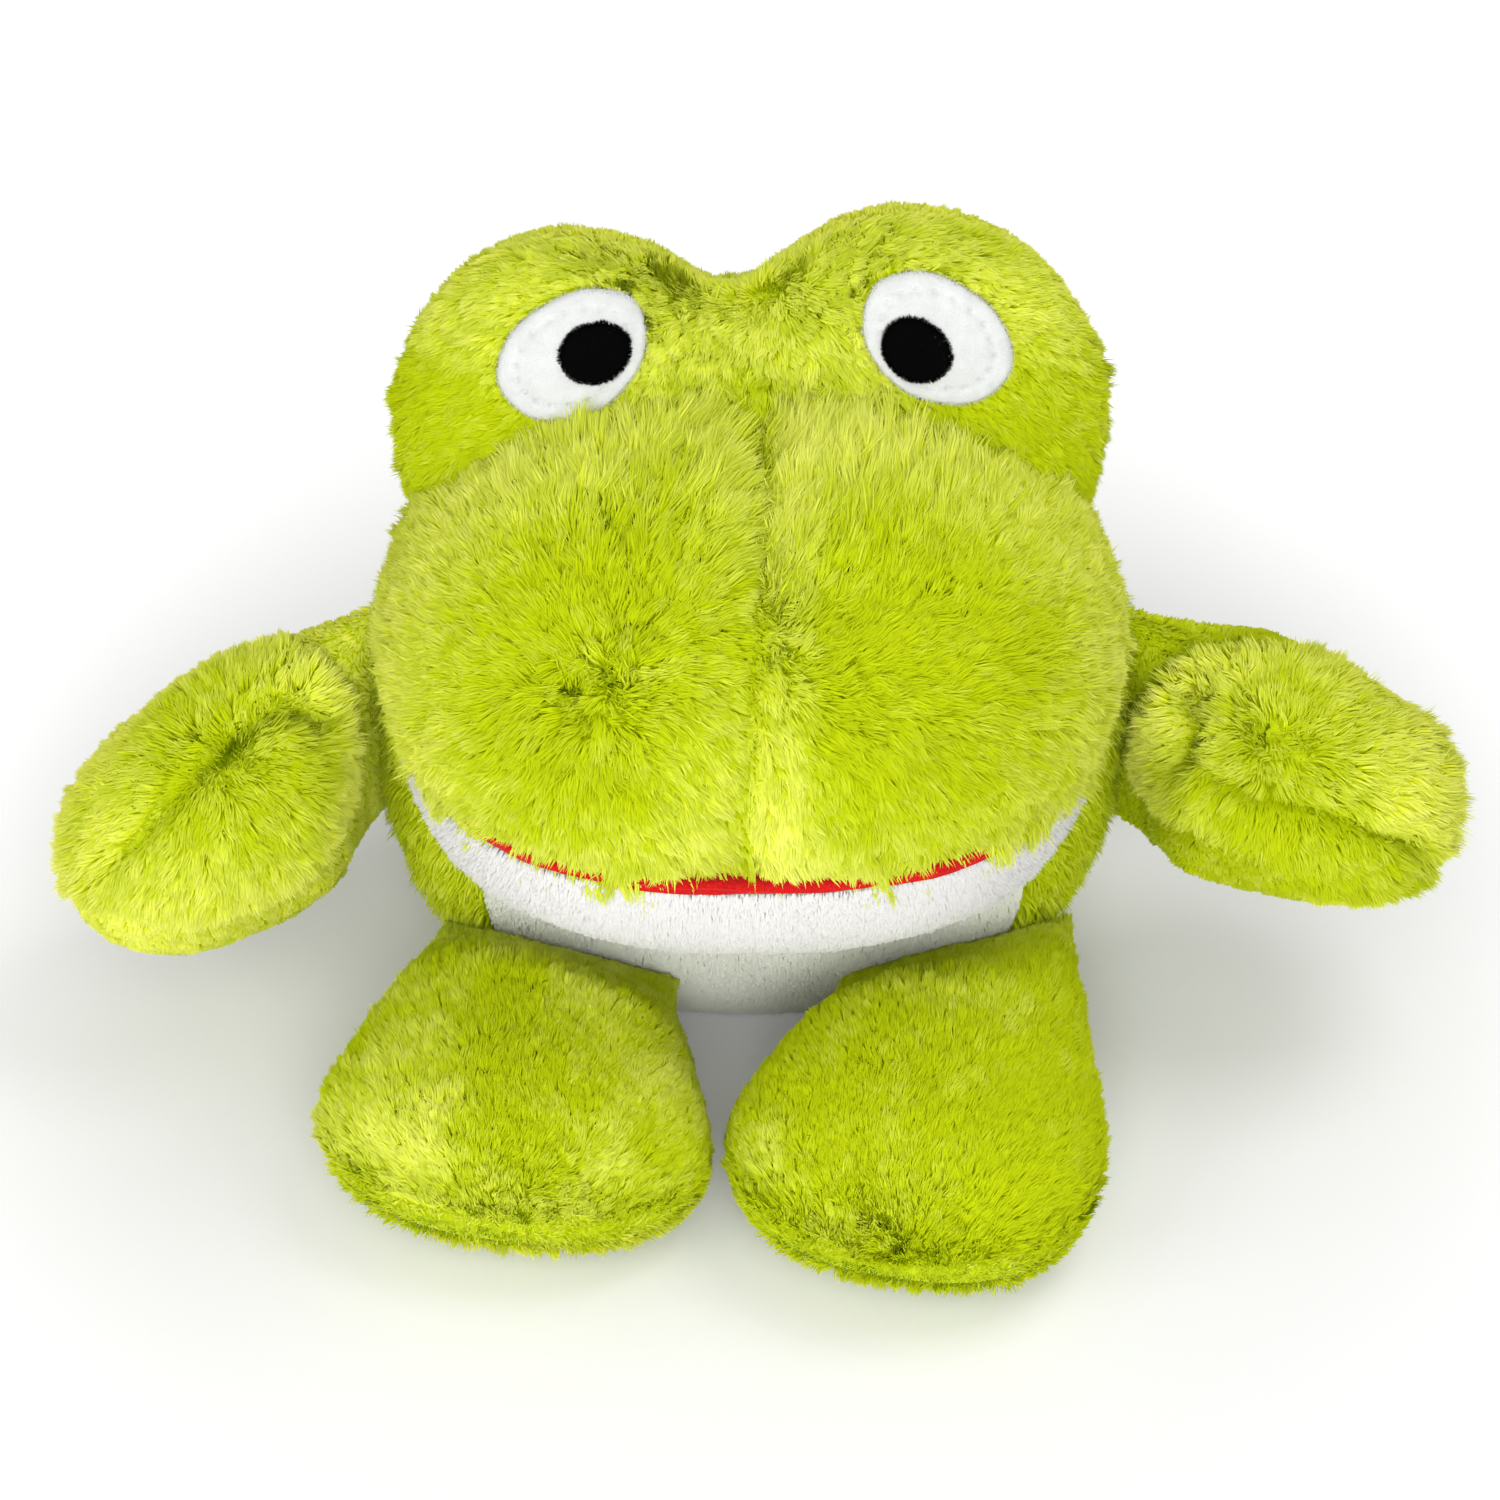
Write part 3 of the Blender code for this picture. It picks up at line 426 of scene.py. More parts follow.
def limbForm(limb, rows, columns):
    # boxy ovals from a thin rounded edge to a fat tip; each is twisted and turned from the seam's line
    # to the limb's own, and half sizes are seam + (full - seam) * step(share) times (1 - share^p)^½
    radius = limb["seamRadius"]
    seamRows = 10
    seamTurns = np.linspace(0.0, math.pi / 2.0, seamRows)
    tipTurns = np.linspace(0.0, math.pi / 2.0, rows - seamRows + 1)[1:]
    run = np.concatenate([radius * (1.0 - np.cos(seamTurns)),
                          radius + (limb["length"] - radius) * np.sin(tipTurns)])[:, None]
    rounding = np.concatenate([np.sin(seamTurns), np.ones(rows - seamRows)])[:, None]
    share = run / limb["length"]
    closing = np.sqrt(np.clip(1.0 - share ** limb["tipPower"], 0.0, 1.0))
    wideStep, swellStep = smoothStep(share / limb["widthRise"]), smoothStep(share / limb["swellRise"])
    width = closing * (limb["seamHalfLength"] + (limb["halfWidth"] - limb["seamHalfLength"]) * wideStep)
    over = rounding * closing * (limb["seamEdge"] + (limb["over"] - limb["seamEdge"]) * swellStep)
    under = rounding * closing * (limb["seamEdge"] + (limb["under"] - limb["seamEdge"]) * swellStep)
    turns = ringTurns(columns)
    power = 2.0 / limb["sectionPower"]
    across = width * signedPower(np.cos(turns), power)
    rise = signedPower(np.sin(turns), power)
    out = np.where(rise > 0.0, over * rise, under * rise)
    seam = out.copy()
    twist = math.radians(limb["twist"]) * smoothStep(share)
    turnedAcross = across * np.cos(twist) - out * np.sin(twist)
    turnedOut = across * np.sin(twist) + out * np.cos(twist)
    wide = unit(limb["seamAlong"] * (1.0 - wideStep[..., None]) + limb["wide"] * wideStep[..., None])
    thick = unit(np.cross(limb["along"], wide))
    bow = limb["seamBow"] * (across / limb["seamHalfLength"]) ** 2 * (1.0 - share) ** 3
    reach = run - radius - bow
    points = (limb["along"] * reach[..., None] + wide * turnedAcross[..., None] + thick * turnedOut[..., None]
              + upward * (limb["lift"] * wideStep)[..., None]) + limb["root"]
    points[..., 2] = np.maximum(points[..., 2], 0.0)
    share = share + np.zeros_like(across)
    return {"points": points, "normals": ringNormals(points), "seam": seam, "share": share,
            "across": across, "turn": np.broadcast_to(np.sin(turns), across.shape)}


def frontPlane(points):
    # places seen from the front and above: across, and up in the plane square to the view
    return np.stack([points[..., 0], -awayFromView[2] * points[..., 1] + awayFromView[1] * points[..., 2]], axis=-1)


def fromFrontPlane(flat):
    # a direction in that plane, back in 3-D
    return np.stack([flat[..., 0], -awayFromView[2] * flat[..., 1], awayFromView[1] * flat[..., 1]], axis=-1)


def besideLine(points, line):
    # distance to a line of points in that plane, how far along it (0 to 1), and the way off it in 3-D
    flat = frontPlane(points)
    line = np.array(line) * mm
    nearest = np.full(flat.shape[:-1], np.inf)
    along = np.zeros(flat.shape[:-1])
    way = np.zeros(flat.shape)
    for k in range(len(line) - 1):
        step = line[k + 1] - line[k]
        share = np.clip(np.sum((flat - line[k]) * step, axis=-1) / (step @ step), 0.0, 1.0)
        off = flat - line[k] - share[..., None] * step
        distance = np.hypot(off[..., 0], off[..., 1])
        side = np.sign(step[0] * off[..., 1] - step[1] * off[..., 0])
        nearer = distance < np.abs(nearest)
        nearest = np.where(nearer, distance * np.where(side == 0.0, 1.0, side), nearest)
        along = np.where(nearer, (k + share) / (len(line) - 1), along)
        way = np.where(nearer[..., None], off / np.maximum(distance, 1e-6)[..., None], way)
    return nearest, along, fromFrontPlane(way)


def clearOf(points, tests, direction, reach):
    # points inside a neighbour move along a direction until they are just outside, found by halving
    def blocked(at):
        return np.any([test(at) for test in tests], axis=0)

    caught = blocked(points)
    low, high = np.zeros(points.shape[:-1]), np.full(points.shape[:-1], reach)
    halvings = 14
    for _ in range(halvings):
        half = (low + high) / 2.0
        inside = blocked(points + direction * half[..., None])
        low, high = np.where(inside, half, low), np.where(inside, high, half)
    return points + direction * np.where(caught, high, 0.0)[..., None]


print("forms ready")


# Pile


def scatter(form, weight, count, rng):
    # roots spread by area: a cell is drawn by its area times its weight, and a place in it at random
    closed = {name: np.concatenate([grid, grid[:, :1]], axis=1) for name, grid in form.items()}
    points = closed["points"]
    diagonals = np.cross(points[1:, 1:] - points[:-1, :-1], points[1:, :-1] - points[:-1, 1:])
    area = 0.5 * np.linalg.norm(diagonals, axis=-1) * weight[:-1]
    reached = np.cumsum(area.ravel())
    spots = (np.arange(count) + rng.random(count)) / count * reached[-1]
    picked = np.minimum(np.searchsorted(reached, spots), reached.size - 1)
    row, column = np.divmod(picked, area.shape[1])
    a, b = rng.random((count, 1)), rng.random((count, 1))
    roots = {}
    for name, grid in closed.items():
        grid = grid if grid.ndim == 3 else grid[..., None]
        low = grid[row, column] * (1.0 - b) + grid[row, column + 1] * b
        high = grid[row + 1, column] * (1.0 - b) + grid[row + 1, column + 1] * b
        roots[name] = low * (1.0 - a) + high * a
    roots["normals"] = unit(roots["normals"])
    return roots


strand = {"elbow": 0.55, "elbowPull": 0.4, "above": 0.3 * mm, "floor": 0.25 * mm, "weakLean": 0.65, "wideLock": 3.2,
          "swirlSize": 16 * mm, "underLean": 0.75, "underStand": 0.4, "underShort": 0.45, "lockLength": 0.30,
          "shortest": 0.25, "longest": 1.5, "openUp": 0.8, "widths": 0.25, "lightOnward": 0.25,
          "mottleSize": 20 * mm, "fineMottleSize": 7 * mm, "fineMottle": 0.6}


def growPile(name, form, weight, hidden, recipe, comb, seed, material, body):
    # each strand is a kite: a point at the root, widest at its elbow, bent there, and a point at the tip. It
    # stands on the normal, leans with the comb and its lock, and its tip is drawn to the lock's middle. Where
    # the comb is weak the locks splay. The fibres under them stand up and are short. A strand's shading
    # normal leans from its own face to the form's, as light spreads through real pile.
    rng = np.random.default_rng(seed)
    roots = scatter(form, weight * ~hidden(form["points"]), int(recipe["count"] * draftShare), rng)
    keep = ~hidden(roots["points"])
    roots = {key: value[keep] for key, value in roots.items()}
    root, normal = roots["points"], roots["normals"]
    count = len(root)
    lean, lengthShare, shade = comb(roots)
    lean = lean - dot(lean, normal) * normal
    weak = 1.0 - smoothStep(np.linalg.norm(lean, axis=-1, keepdims=True) / strand["weakLean"])
    centre, cell = nearestLock(root, recipe["lock"], seed)
    _, wideCell = nearestLock(root, recipe["lock"] * strand["wideLock"], seed + 40)
    swirl = np.stack([smoothNoise(root, strand["swirlSize"], seed + k) for k in (11, 12, 13)], axis=-1)
    under = (rng.random((count, 1)) < recipe["under"]).astype(float)
    lean = lean * (1.0 - strand["underLean"] * under)
    direction = (normal * (recipe["stand"] + strand["underStand"] * under) + lean + swirl * recipe["swirl"]
                 + hashedVector(cell, seed + 3) * (recipe["lockTilt"] + recipe["splay"] * weak)
                 + hashedVector(wideCell, seed + 6) * recipe["wideTilt"]
                 + rng.normal(size=(count, 3)) * recipe["stray"])
    low = recipe["least"] - dot(direction, normal) / np.linalg.norm(direction, axis=-1, keepdims=True)
    direction = unit(direction + normal * np.clip(low, 0.0, None))
    length = (recipe["length"] * lengthShare * (1.0 - strand["underShort"] * under)
              * (1.0 + strand["lockLength"] * (hashed(cell, seed + 9)[:, None] - 0.5))
              * (1.0 + recipe["ragged"] * rng.normal(size=(count, 1))))
    length = np.clip(length, strand["shortest"] * recipe["length"] * np.minimum(lengthShare, 1.0),
                     strand["longest"] * recipe["length"] * np.maximum(lengthShare, 1.0))
    toLock = centre - root
    toLock = toLock - dot(toLock, normal) * normal
    bend = (lean * recipe["bend"] + hashedVector(cell, seed + 18) * recipe["lockCurl"]
            + rng.normal(size=(count, 3)) * recipe["curl"] - upward * recipe["sag"])
    middle = root + direction * length * strand["elbow"] + toLock * recipe["pull"] * strand["elbowPull"]
    onward = unit(direction + bend)
    tip = (middle + onward * length * (1.0 - strand["elbow"])
           + toLock * recipe["pull"] * (1.0 - strand["elbowPull"]))
    for end in (middle, tip):
        end += normal * np.clip(strand["above"] - dot(end - root, normal), 0.0, None)
        end[:, 2] = np.maximum(end[:, 2], strand["floor"])
    openSide = normal + strand["openUp"] * upward
    facing = openSide + rng.normal(size=(count, 3)) * recipe["roll"]
    across = unit(np.cross(direction, facing))
    across = np.where(dot(np.cross(across, direction), openSide) < 0.0, -across, across)
    spread = 1.0 + strand["widths"] * rng.normal(size=(count, 1))
    half = recipe["width"] / 2.0 * spread / math.sqrt(draftShare)
    root = root - normal * strand["above"]
    blades = np.stack([root, middle + across * half, tip, middle - across * half], axis=1)
    blades[..., 2] = np.maximum(blades[..., 2], 0.1 * mm)
    soft = unit(normal * recipe["soft"] + unit(np.cross(across, direction)) + strand["lightOnward"] * direction)
    # the tone is the comb's, which lays painted light and shade in places, with random mottle and lock and strand
    # differences on top
    tone = (shade[:, 0] + recipe["mottle"] * smoothNoise(root, strand["mottleSize"], seed + 21)
            + strand["fineMottle"] * recipe["mottle"] * smoothNoise(root, strand["fineMottleSize"], seed + 22)
            + recipe["lockTone"] * (hashed(cell, seed + 15) - 0.5)
            + recipe["strandTone"] * (rng.random(count) - 0.5))
    tone = np.clip(tone, 0.03, 0.97)[:, None]
    corners = np.array((0, 1, 3, 3, 1, 2))  # root, one side, other side; other side, one side, tip
    crosswise = np.array((0.0, 0.02, -0.02, -0.02, 0.02, 0.0))
    lengthwise = np.array((0.02, 0.6, 0.6, 0.6, 0.6, 0.98))
    uv = np.stack([np.clip(tone + crosswise, 0.0, 1.0), np.broadcast_to(lengthwise, (count, 6))], axis=-1)
    mesh = bpy.data.meshes.new(name)
    mesh.vertices.add(4 * count)
    mesh.vertices.foreach_set("co", blades.astype(np.float32).ravel())
    mesh.loops.add(6 * count)
    mesh.loops.foreach_set("vertex_index", (np.arange(count)[:, None] * 4 + corners).astype(np.int32).ravel())
    mesh.polygons.add(2 * count)
    mesh.polygons.foreach_set("loop_start", (np.arange(2 * count) * 3).astype(np.int32))
    mesh.update(calc_edges=True)
    mesh.uv_layers.new(name="OFBake").data.foreach_set("uv", uv.astype(np.float32).ravel())
    turned = mesh.attributes.new("custom_normal", "FLOAT_VECTOR", "POINT")
    turned.data.foreach_set("vector", np.repeat(soft, 4, axis=0).astype(np.float32).ravel())
    mesh.shade_smooth()
    piece = addMesh(name, mesh, material)
    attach(piece, body)
    print(name, count, "strands")


# Finishes


def setConstants(shader, values):
    for socket, value in values.items():
        shader.inputs[socket].default_value = value


def pileFinish(name, darkStops, lightStops, roughness, sheen):
    # Acrylic plush pile: dyed through, cut to a length and brushed up. Up each strand the colour darkens to the root,
    # painted shade for the roots' shade, and pales to the tip, partly the teased-open tips' own paleness and partly
    # painted light. Across the strand map runs the tone, the dye with the combs' painted light and shade, up it the
    # length.
    material, tree, shader = newMaterial(name)
    place = addNode(tree, "ShaderNodeUVMap", {"uv_map": "OFBake"})
    parts = addNode(tree, "ShaderNodeSeparateXYZ", {}, {0: place.outputs[0]})
    dark = fillRamp(addNode(tree, "ShaderNodeValToRGB", {}, {0: parts.outputs[1]}), darkStops)
    light = fillRamp(addNode(tree, "ShaderNodeValToRGB", {}, {0: parts.outputs[1]}), lightStops)
    mix = addNode(tree, "ShaderNodeMix", {"data_type": "RGBA"},
                  {0: parts.outputs[0], 6: dark.outputs[0], 7: light.outputs[0]})
    tree.links.new(mix.outputs[2], shader.inputs["Base Color"])
    gloss = addNode(tree, "ShaderNodeMapRange", {3: roughness + 0.15, 4: roughness}, {0: parts.outputs[1]})
    tree.links.new(gloss.outputs[0], shader.inputs["Roughness"])
    setConstants(shader, {"Specular IOR Level": 0.04, "Sheen Weight": sheen, "Sheen Roughness": 0.5,
                          "Sheen Tint": linearColour(lightStops[-1][1])})
    return material


def backingFinish(name, hexDark, hexLight):
    # Knitted polyester backing under the pile: 1 mm loops, seen only where the pile parts
    material, tree, shader = newMaterial(name)
    place = addNode(tree, "ShaderNodeTexCoord")
    noise = addNode(tree, "ShaderNodeTexNoise", {"Scale": 1.0 / (11.11 * mm), "Detail": 3.0},
                    {"Vector": place.outputs["Object"]})
    loops = addNode(tree, "ShaderNodeTexVoronoi", {"Scale": 1.0 / (1.111 * mm)}, {"Vector": place.outputs["Object"]})
    ramp = fillRamp(addNode(tree, "ShaderNodeValToRGB", {}, {0: noise.outputs["Fac"]}),
                    ((0.3, hexDark), (0.7, hexLight)))
    tree.links.new(ramp.outputs[0], shader.inputs["Base Color"])
    bump = addNode(tree, "ShaderNodeBump", {"Strength": 0.5, "Distance": 0.4 * mm},
                   {"Height": loops.outputs["Distance"]})
    tree.links.new(bump.outputs[0], shader.inputs["Normal"])
    setConstants(shader, {"Roughness": 0.95})
    return material


def feltFinish(name, hexDark, hexLight, hexThread, fibreSize, sheen):
    # Pressed wool-blend felt: matted fibres a few tenths of a millimetre apart, with a soft nap
    material, tree, shader = newMaterial(name)
    place = addNode(tree, "ShaderNodeTexCoord")
    fibres = addNode(tree, "ShaderNodeTexNoise", {"Scale": 1.0 / fibreSize, "Detail": 6.0, "Distortion": 1.6},
                     {"Vector": place.outputs["Object"]})
    clouds = addNode(tree, "ShaderNodeTexNoise", {"Scale": 1.0 / (4.545 * mm), "Detail": 2.0},
                     {"Vector": place.outputs["Object"]})
    ramp = fillRamp(addNode(tree, "ShaderNodeValToRGB", {}, {0: fibres.outputs["Fac"]}),
                    ((0.30, hexDark), (0.55, hexLight), (0.80, hexThread)))
    soft = addNode(tree, "ShaderNodeMapRange", {1: 0.3, 2: 0.7, 3: 0.90, 4: 1.0}, {0: clouds.outputs["Fac"]})
    tint = addNode(tree, "ShaderNodeMix", {"data_type": "RGBA", "blend_type": "MULTIPLY", 0: 1.0},
                   {6: ramp.outputs[0]})
    tree.links.new(soft.outputs[0], tint.inputs[7])
    tree.links.new(tint.outputs[2], shader.inputs["Base Color"])
    bump = addNode(tree, "ShaderNodeBump", {"Strength": 0.6, "Distance": 0.3 * mm}, {"Height": fibres.outputs["Fac"]})
    tree.links.new(bump.outputs[0], shader.inputs["Normal"])
    setConstants(shader, {"Roughness": 0.92, "Specular IOR Level": 0.06, "Sheen Weight": sheen})
    return material


limePile = pileFinish("lime_acrylic_pile",
                      ((0.0, "#aabb00"), (0.45, "#b5c600"), (1.0, "#c7d800")),
                      ((0.0, "#d6e602"), (0.45, "#ecf414"), (1.0, "#f8fa84")), 0.8, 0.02)
whitePile = pileFinish("white_minky_pile",
                       ((0.0, "#d9d8d5"), (0.5, "#e1e0dd"), (1.0, "#e6e5e2")),
                       ((0.0, "#dfdedb"), (0.5, "#e7e6e3"), (1.0, "#ecebe8")), 0.8, 0.02)
# the belly's pile is the jaw's white pile made lighter, painted light against the shade the jaw casts on the belly,
# while the jaw's copy is kept darker under its stronger light
bellyPaintedLightPile = pileFinish("white_minky_pile_painted_light",
                       ((0.0, "#f0f2e4"), (0.5, "#f4f6e8"), (1.0, "#f7f9ec")),
                       ((0.0, "#f4f6ea"), (0.5, "#f8faf0"), (1.0, "#fafcf4")), 0.8, 0.02)
limeBacking = backingFinish("lime_knit_backing", "#cce000", "#deee08")
whiteBacking = backingFinish("white_knit_backing", "#e6e6e2", "#f0f0ec")
whiteFelt = feltFinish("white_felt", "#d8dad8", "#e4e6e4", "#eceeec", 0.35 * mm, 0.02)
redFelt = feltFinish("red_felt", "#b40d10", "#de1a1c", "#f04a44", 0.35 * mm, 0.1)
print("finishes ready")


# Body

forms = {"body": insideBody, "head": insideHead,
         "snout": lambda points: insideDome(snout, points), "jaw": lambda points: insideDome(jaw, points)}


def hiddenBy(*names):
    # a test that says which points lie inside any of the forms named
    return lambda points: np.any([forms[name](points) for name in names], axis=0)


backing = {"sink": 0.5 * mm, "groove": 0.6 * mm, "grooveWidth": 2.0 * mm}


def padSkin(name, form, material, body, replaced):
    # the backing under the pile: the form drawn in a little, and nipped along its seams by a bell; every
    # other row and column of the grid is enough for it
    nip = backing["groove"] * bell(form["seam"], backing["grooveWidth"])[..., None]
    points = form["points"] - form["normals"] * (backing["sink"] + nip)
    points[..., 2] = np.maximum(points[..., 2], 0.0)
    points = np.concatenate([points[:-1:2, ::2], points[-1:, ::2]])
    piece = meshFromRings(name, points, material)
    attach(piece, body)
    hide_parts(*replaced)
    return piece


# how pile grows: a strand's length and width, the size of its locks, how it stands and leans, how far locks
# and strands differ in lean, curl and dye, and how much the light takes the form's own normal
bodyPile = {"length": 7.6 * mm, "width": 0.46 * mm, "lock": 3.0 * mm, "stand": 0.60, "swirl": 0.36,
            "lockTilt": 0.20, "wideTilt": 0.16, "splay": 0.75, "stray": 0.08, "least": 0.28, "ragged": 0.08,
            "pull": 0.32, "bend": 0.35, "lockCurl": 0.50, "curl": 0.08, "sag": 0.05, "roll": 0.25,
            "mottle": 0.16, "lockTone": 0.44, "strandTone": 0.38, "soft": 2.4, "under": 0.10}
shortPile = {**bodyPile, "length": 2.8 * mm, "width": 0.42 * mm, "lock": 1.7 * mm, "stand": 0.34,
             "swirl": 0.14, "lockTilt": 0.10, "wideTilt": 0.06, "splay": 0.0, "stray": 0.06, "least": 0.22,
             "pull": 0.12, "lockCurl": 0.15, "mottle": 0.10, "lockTone": 0.14, "strandTone": 0.16, "soft": 3.0}
whitePatch = {"turnShare": 0.97, "low": 1.0 * mm, "high": 90 * mm}
torsoNap = {"down": 0.85, "ease": 0.35, "shoulder": 80 * mm, "shoulderSpan": 20 * mm, "length": 0.78, "tone": 0.14}

torso = bodyForm(150, 260)
bodyBacking = padSkin("body_backing", torso, limeBacking, "torso",
                      ["belly_panel", "back_panel", "base_panel", "body_stuffing"])
bodyBacking.data.materials.append(whiteBacking)
centres = np.zeros(len(bodyBacking.data.polygons) * 3)
bodyBacking.data.polygons.foreach_get("center", centres)
across, forward, height = centres.reshape(-1, 3).T
turn = np.abs(np.arctan2(across / body["halfWidth"], -forward / body["halfDepth"]))
white = ((turn < body["bellyTurn"] * whitePatch["turnShare"]) & (height > whitePatch["low"])
         & (height < whitePatch["high"]))
bodyBacking.data.polygons.foreach_set("material_index", white.astype(np.int32))


def bodyComb(roots):
    # the nap runs down the body, and stands longer and steeper on the shoulders
    high = fade(roots["points"][:, 2:], torsoNap["shoulder"], torsoNap["shoulderSpan"])
    lean = -upward * (torsoNap["down"] - torsoNap["ease"] * high) + 0.0 * roots["points"]
    return lean, torsoNap["length"] + (1.0 - torsoNap["length"]) * high, torsoNap["tone"] + 0.0 * high


isBase = torso["points"][..., 2] < 0.4 * mm
underHead = hiddenBy("head", "snout", "jaw")
growPile("back_pile", torso, (torso["seam"] > 0.0) * ~isBase, underHead,
         {**bodyPile, "count": 48000}, bodyComb, 101, limePile, "torso")
growPile("base_pile", torso, isBase * 1.0, underHead,
         {**bodyPile, "count": 8000, "length": 3.0 * mm}, bodyComb, 102, limePile, "torso")
# the belly's lighter white pile paints light into the jaw's shade
growPile("belly_pile", torso, (torso["seam"] < 0.0) * ~isBase, underHead,
         {**shortPile, "count": 46000, "width": 0.50 * mm}, bodyComb, 103, bellyPaintedLightPile, "torso")


# Head

eyes = {
    "left": {"offset": 0.0448, "rise": 0.0477, "radius": 0.0194, "squash": 0.68, "turn": -0.53,
             "pupil": (0.0398, 0.0463), "pupilRadius": 0.0086, "pupilSquash": 0.76, "pupilTurn": -0.53},
    "right": {"offset": -0.0427, "rise": 0.0437, "radius": 0.0192, "squash": 0.68, "turn": 0.52,
              "pupil": (-0.0371, 0.0454), "pupilRadius": 0.0084, "pupilSquash": 0.76, "pupilTurn": 0.28},
}


def aroundEyes(points):
    # how far outside the nearest felt disc a point stands, and the way out from that disc's middle
    across, _, along = np.moveaxis(toHead(points), -1, 0)
    gap = np.full(across.shape, np.inf)
    away = np.zeros(points.shape)
    for eye in eyes.values():
        x, z = across - eye["offset"], along - eye["rise"]
        c, t = math.cos(eye["turn"]), math.sin(eye["turn"])
        here = np.hypot(x * c + z * t, (z * c - x * t) / eye["squash"]) - eye["radius"]
        nearer = here < gap
        gap = np.where(nearer, here, gap)
        out = fromHead(np.stack([x, 0.0 * x, z], axis=-1)) - np.array(head["middle"])
        away = np.where(nearer[..., None], unit(out), away)
    return gap, away


crown = headForm(150, 280)
bodyIsNear = lambda points: insideBody(points, clearance)
headIsNear = lambda points: insideHead(points, clearance)
headSkin = {**crown, "points": clearOf(crown["points"], [bodyIsNear], upward, 90 * mm)}
padSkin("head_backing", headSkin, limeBacking, "torso",
        ["head_front_panel", "head_back_panel", "head_stuffing"])
headPile = {**bodyPile, "count": 80000, "length": 6.0 * mm, "width": 0.44 * mm, "lock": 2.6 * mm, "lockTilt": 0.18}
foreheadNap = {"source": (0.0, 0.010, 0.207), "outward": 0.85, "down": 0.25, "toRim": 0.8, "lay": 0.85,
               "edgeWidth": 5.0 * mm, "crest": 0.185, "crestSpan": 15 * mm, "notchWidth": 20 * mm,
               "betweenWidth": 22 * mm, "betweenLean": (0.15, 0.0, -0.3), "eyeWidth": 3.5 * mm, "offEye": 0.15,
               "length": 0.94, "edgeShort": 0.46, "notchLong": 0.12, "eyeShort": 0.5,
               "tone": -0.02, "edgePaintedLight": 0.24, "crestPaintedLight": 0.44, "betweenPaintedLight": 0.08}
napeNap = {"edgeWidth": 5.0 * mm, "crest": 0.180, "crestSpan": 20 * mm, "down": 0.65, "toRim": 0.25,
           "crestShort": 0.48, "tone": 0.14, "edgePaintedLight": 0.18, "crestPaintedLight": 0.42}


def foreheadComb(roots):
    # down and outwards from the notch, out along the rim where the panels meet, and never over an eye; painted light
    # pales it along that rim, over the crown, which turns away from the lamps, and a little between the eyes, where
    # the snout's pile shades the forehead
    nap = foreheadNap
    point = roots["points"]
    edge = bell(roots["seam"], nap["edgeWidth"])
    crest = fade(point[:, 2:], nap["crest"], nap["crestSpan"])
    notch = bell(point[:, :1], nap["notchWidth"]) * crest
    between = bell(point[:, :1], nap["betweenWidth"]) * (1.0 - crest)
    gap, away = aroundEyes(point)
    near = bell(np.clip(gap, 0.0, None), nap["eyeWidth"])[:, None]
    lean = (nap["outward"] * unit(point - np.array(nap["source"])) - nap["down"] * upward
            + nap["toRim"] * edge * roots["rim"] + np.array(nap["betweenLean"]) * between)
    lean = alongSurface(lean, roots["normals"]) * nap["lay"]
    lean = lean + away * np.clip(-dot(lean, away), 0.0, None) * near + nap["offEye"] * near * away
    size = nap["length"] - nap["edgeShort"] * edge * crest + nap["notchLong"] * notch
    tone = nap["tone"] + nap["edgePaintedLight"] * edge + nap["crestPaintedLight"] * crest + nap["betweenPaintedLight"] * between
    return lean, size * (1.0 - nap["eyeShort"] * near), tone


def napeComb(roots):
    # down the back of the head, and short and flat over the crown behind the front panel's edge; painted light pales
    # it along the panels' rim and over the crown, which turns away from the lamps
    nap = napeNap
    edge = bell(roots["seam"], nap["edgeWidth"])
    crest = fade(roots["points"][:, 2:], nap["crest"], nap["crestSpan"])
    lean = alongSurface(awayFromView, roots["normals"]) * (nap["down"] + (1.0 - nap["down"]) * crest)
    lean = lean + nap["toRim"] * edge * roots["rim"]
    return lean, 1.0 - nap["crestShort"] * crest, nap["tone"] + nap["edgePaintedLight"] * edge + nap["crestPaintedLight"] * crest


growPile("forehead_pile", crown, (crown["seam"] <= 0.0) * (aroundEyes(crown["points"])[0] > -1.5 * mm),
         hiddenBy("body", "snout"), headPile, foreheadComb, 201, limePile, "torso")
growPile("nape_pile", crown, (crown["seam"] > 0.0) * 1.0, hiddenBy("body", "snout"),
         {**headPile, "count": 48000}, napeComb, 202, limePile, "torso")


# Snout and jaw


def closedDome(form, middle):
    # the dome with a flat face added at the mouth, rings drawn in to its middle, and moved forward out of
    # the head and the body
    rim = form["points"][:1]
    centre = np.array(middle) + 0.0 * rim
    rings = centre + (rim - centre) * np.linspace(0.0, 1.0, 14)[:-1, None, None]
    points = np.concatenate([rings, form["points"]])
    flat = np.broadcast_to(upward * (-1.0 if form["points"][-1, 0, 2] > middle[2] else 1.0), rings.shape)
    normals = np.concatenate([flat, form["normals"]])
    seam = np.concatenate([np.ones(rings.shape[:2]), form["seam"]])
    points = clearOf(points, [headIsNear, bodyIsNear], np.array((0.0, -1.0, 0.0)), 90 * mm)
    return {"points": points, "normals": normals, "seam": seam}


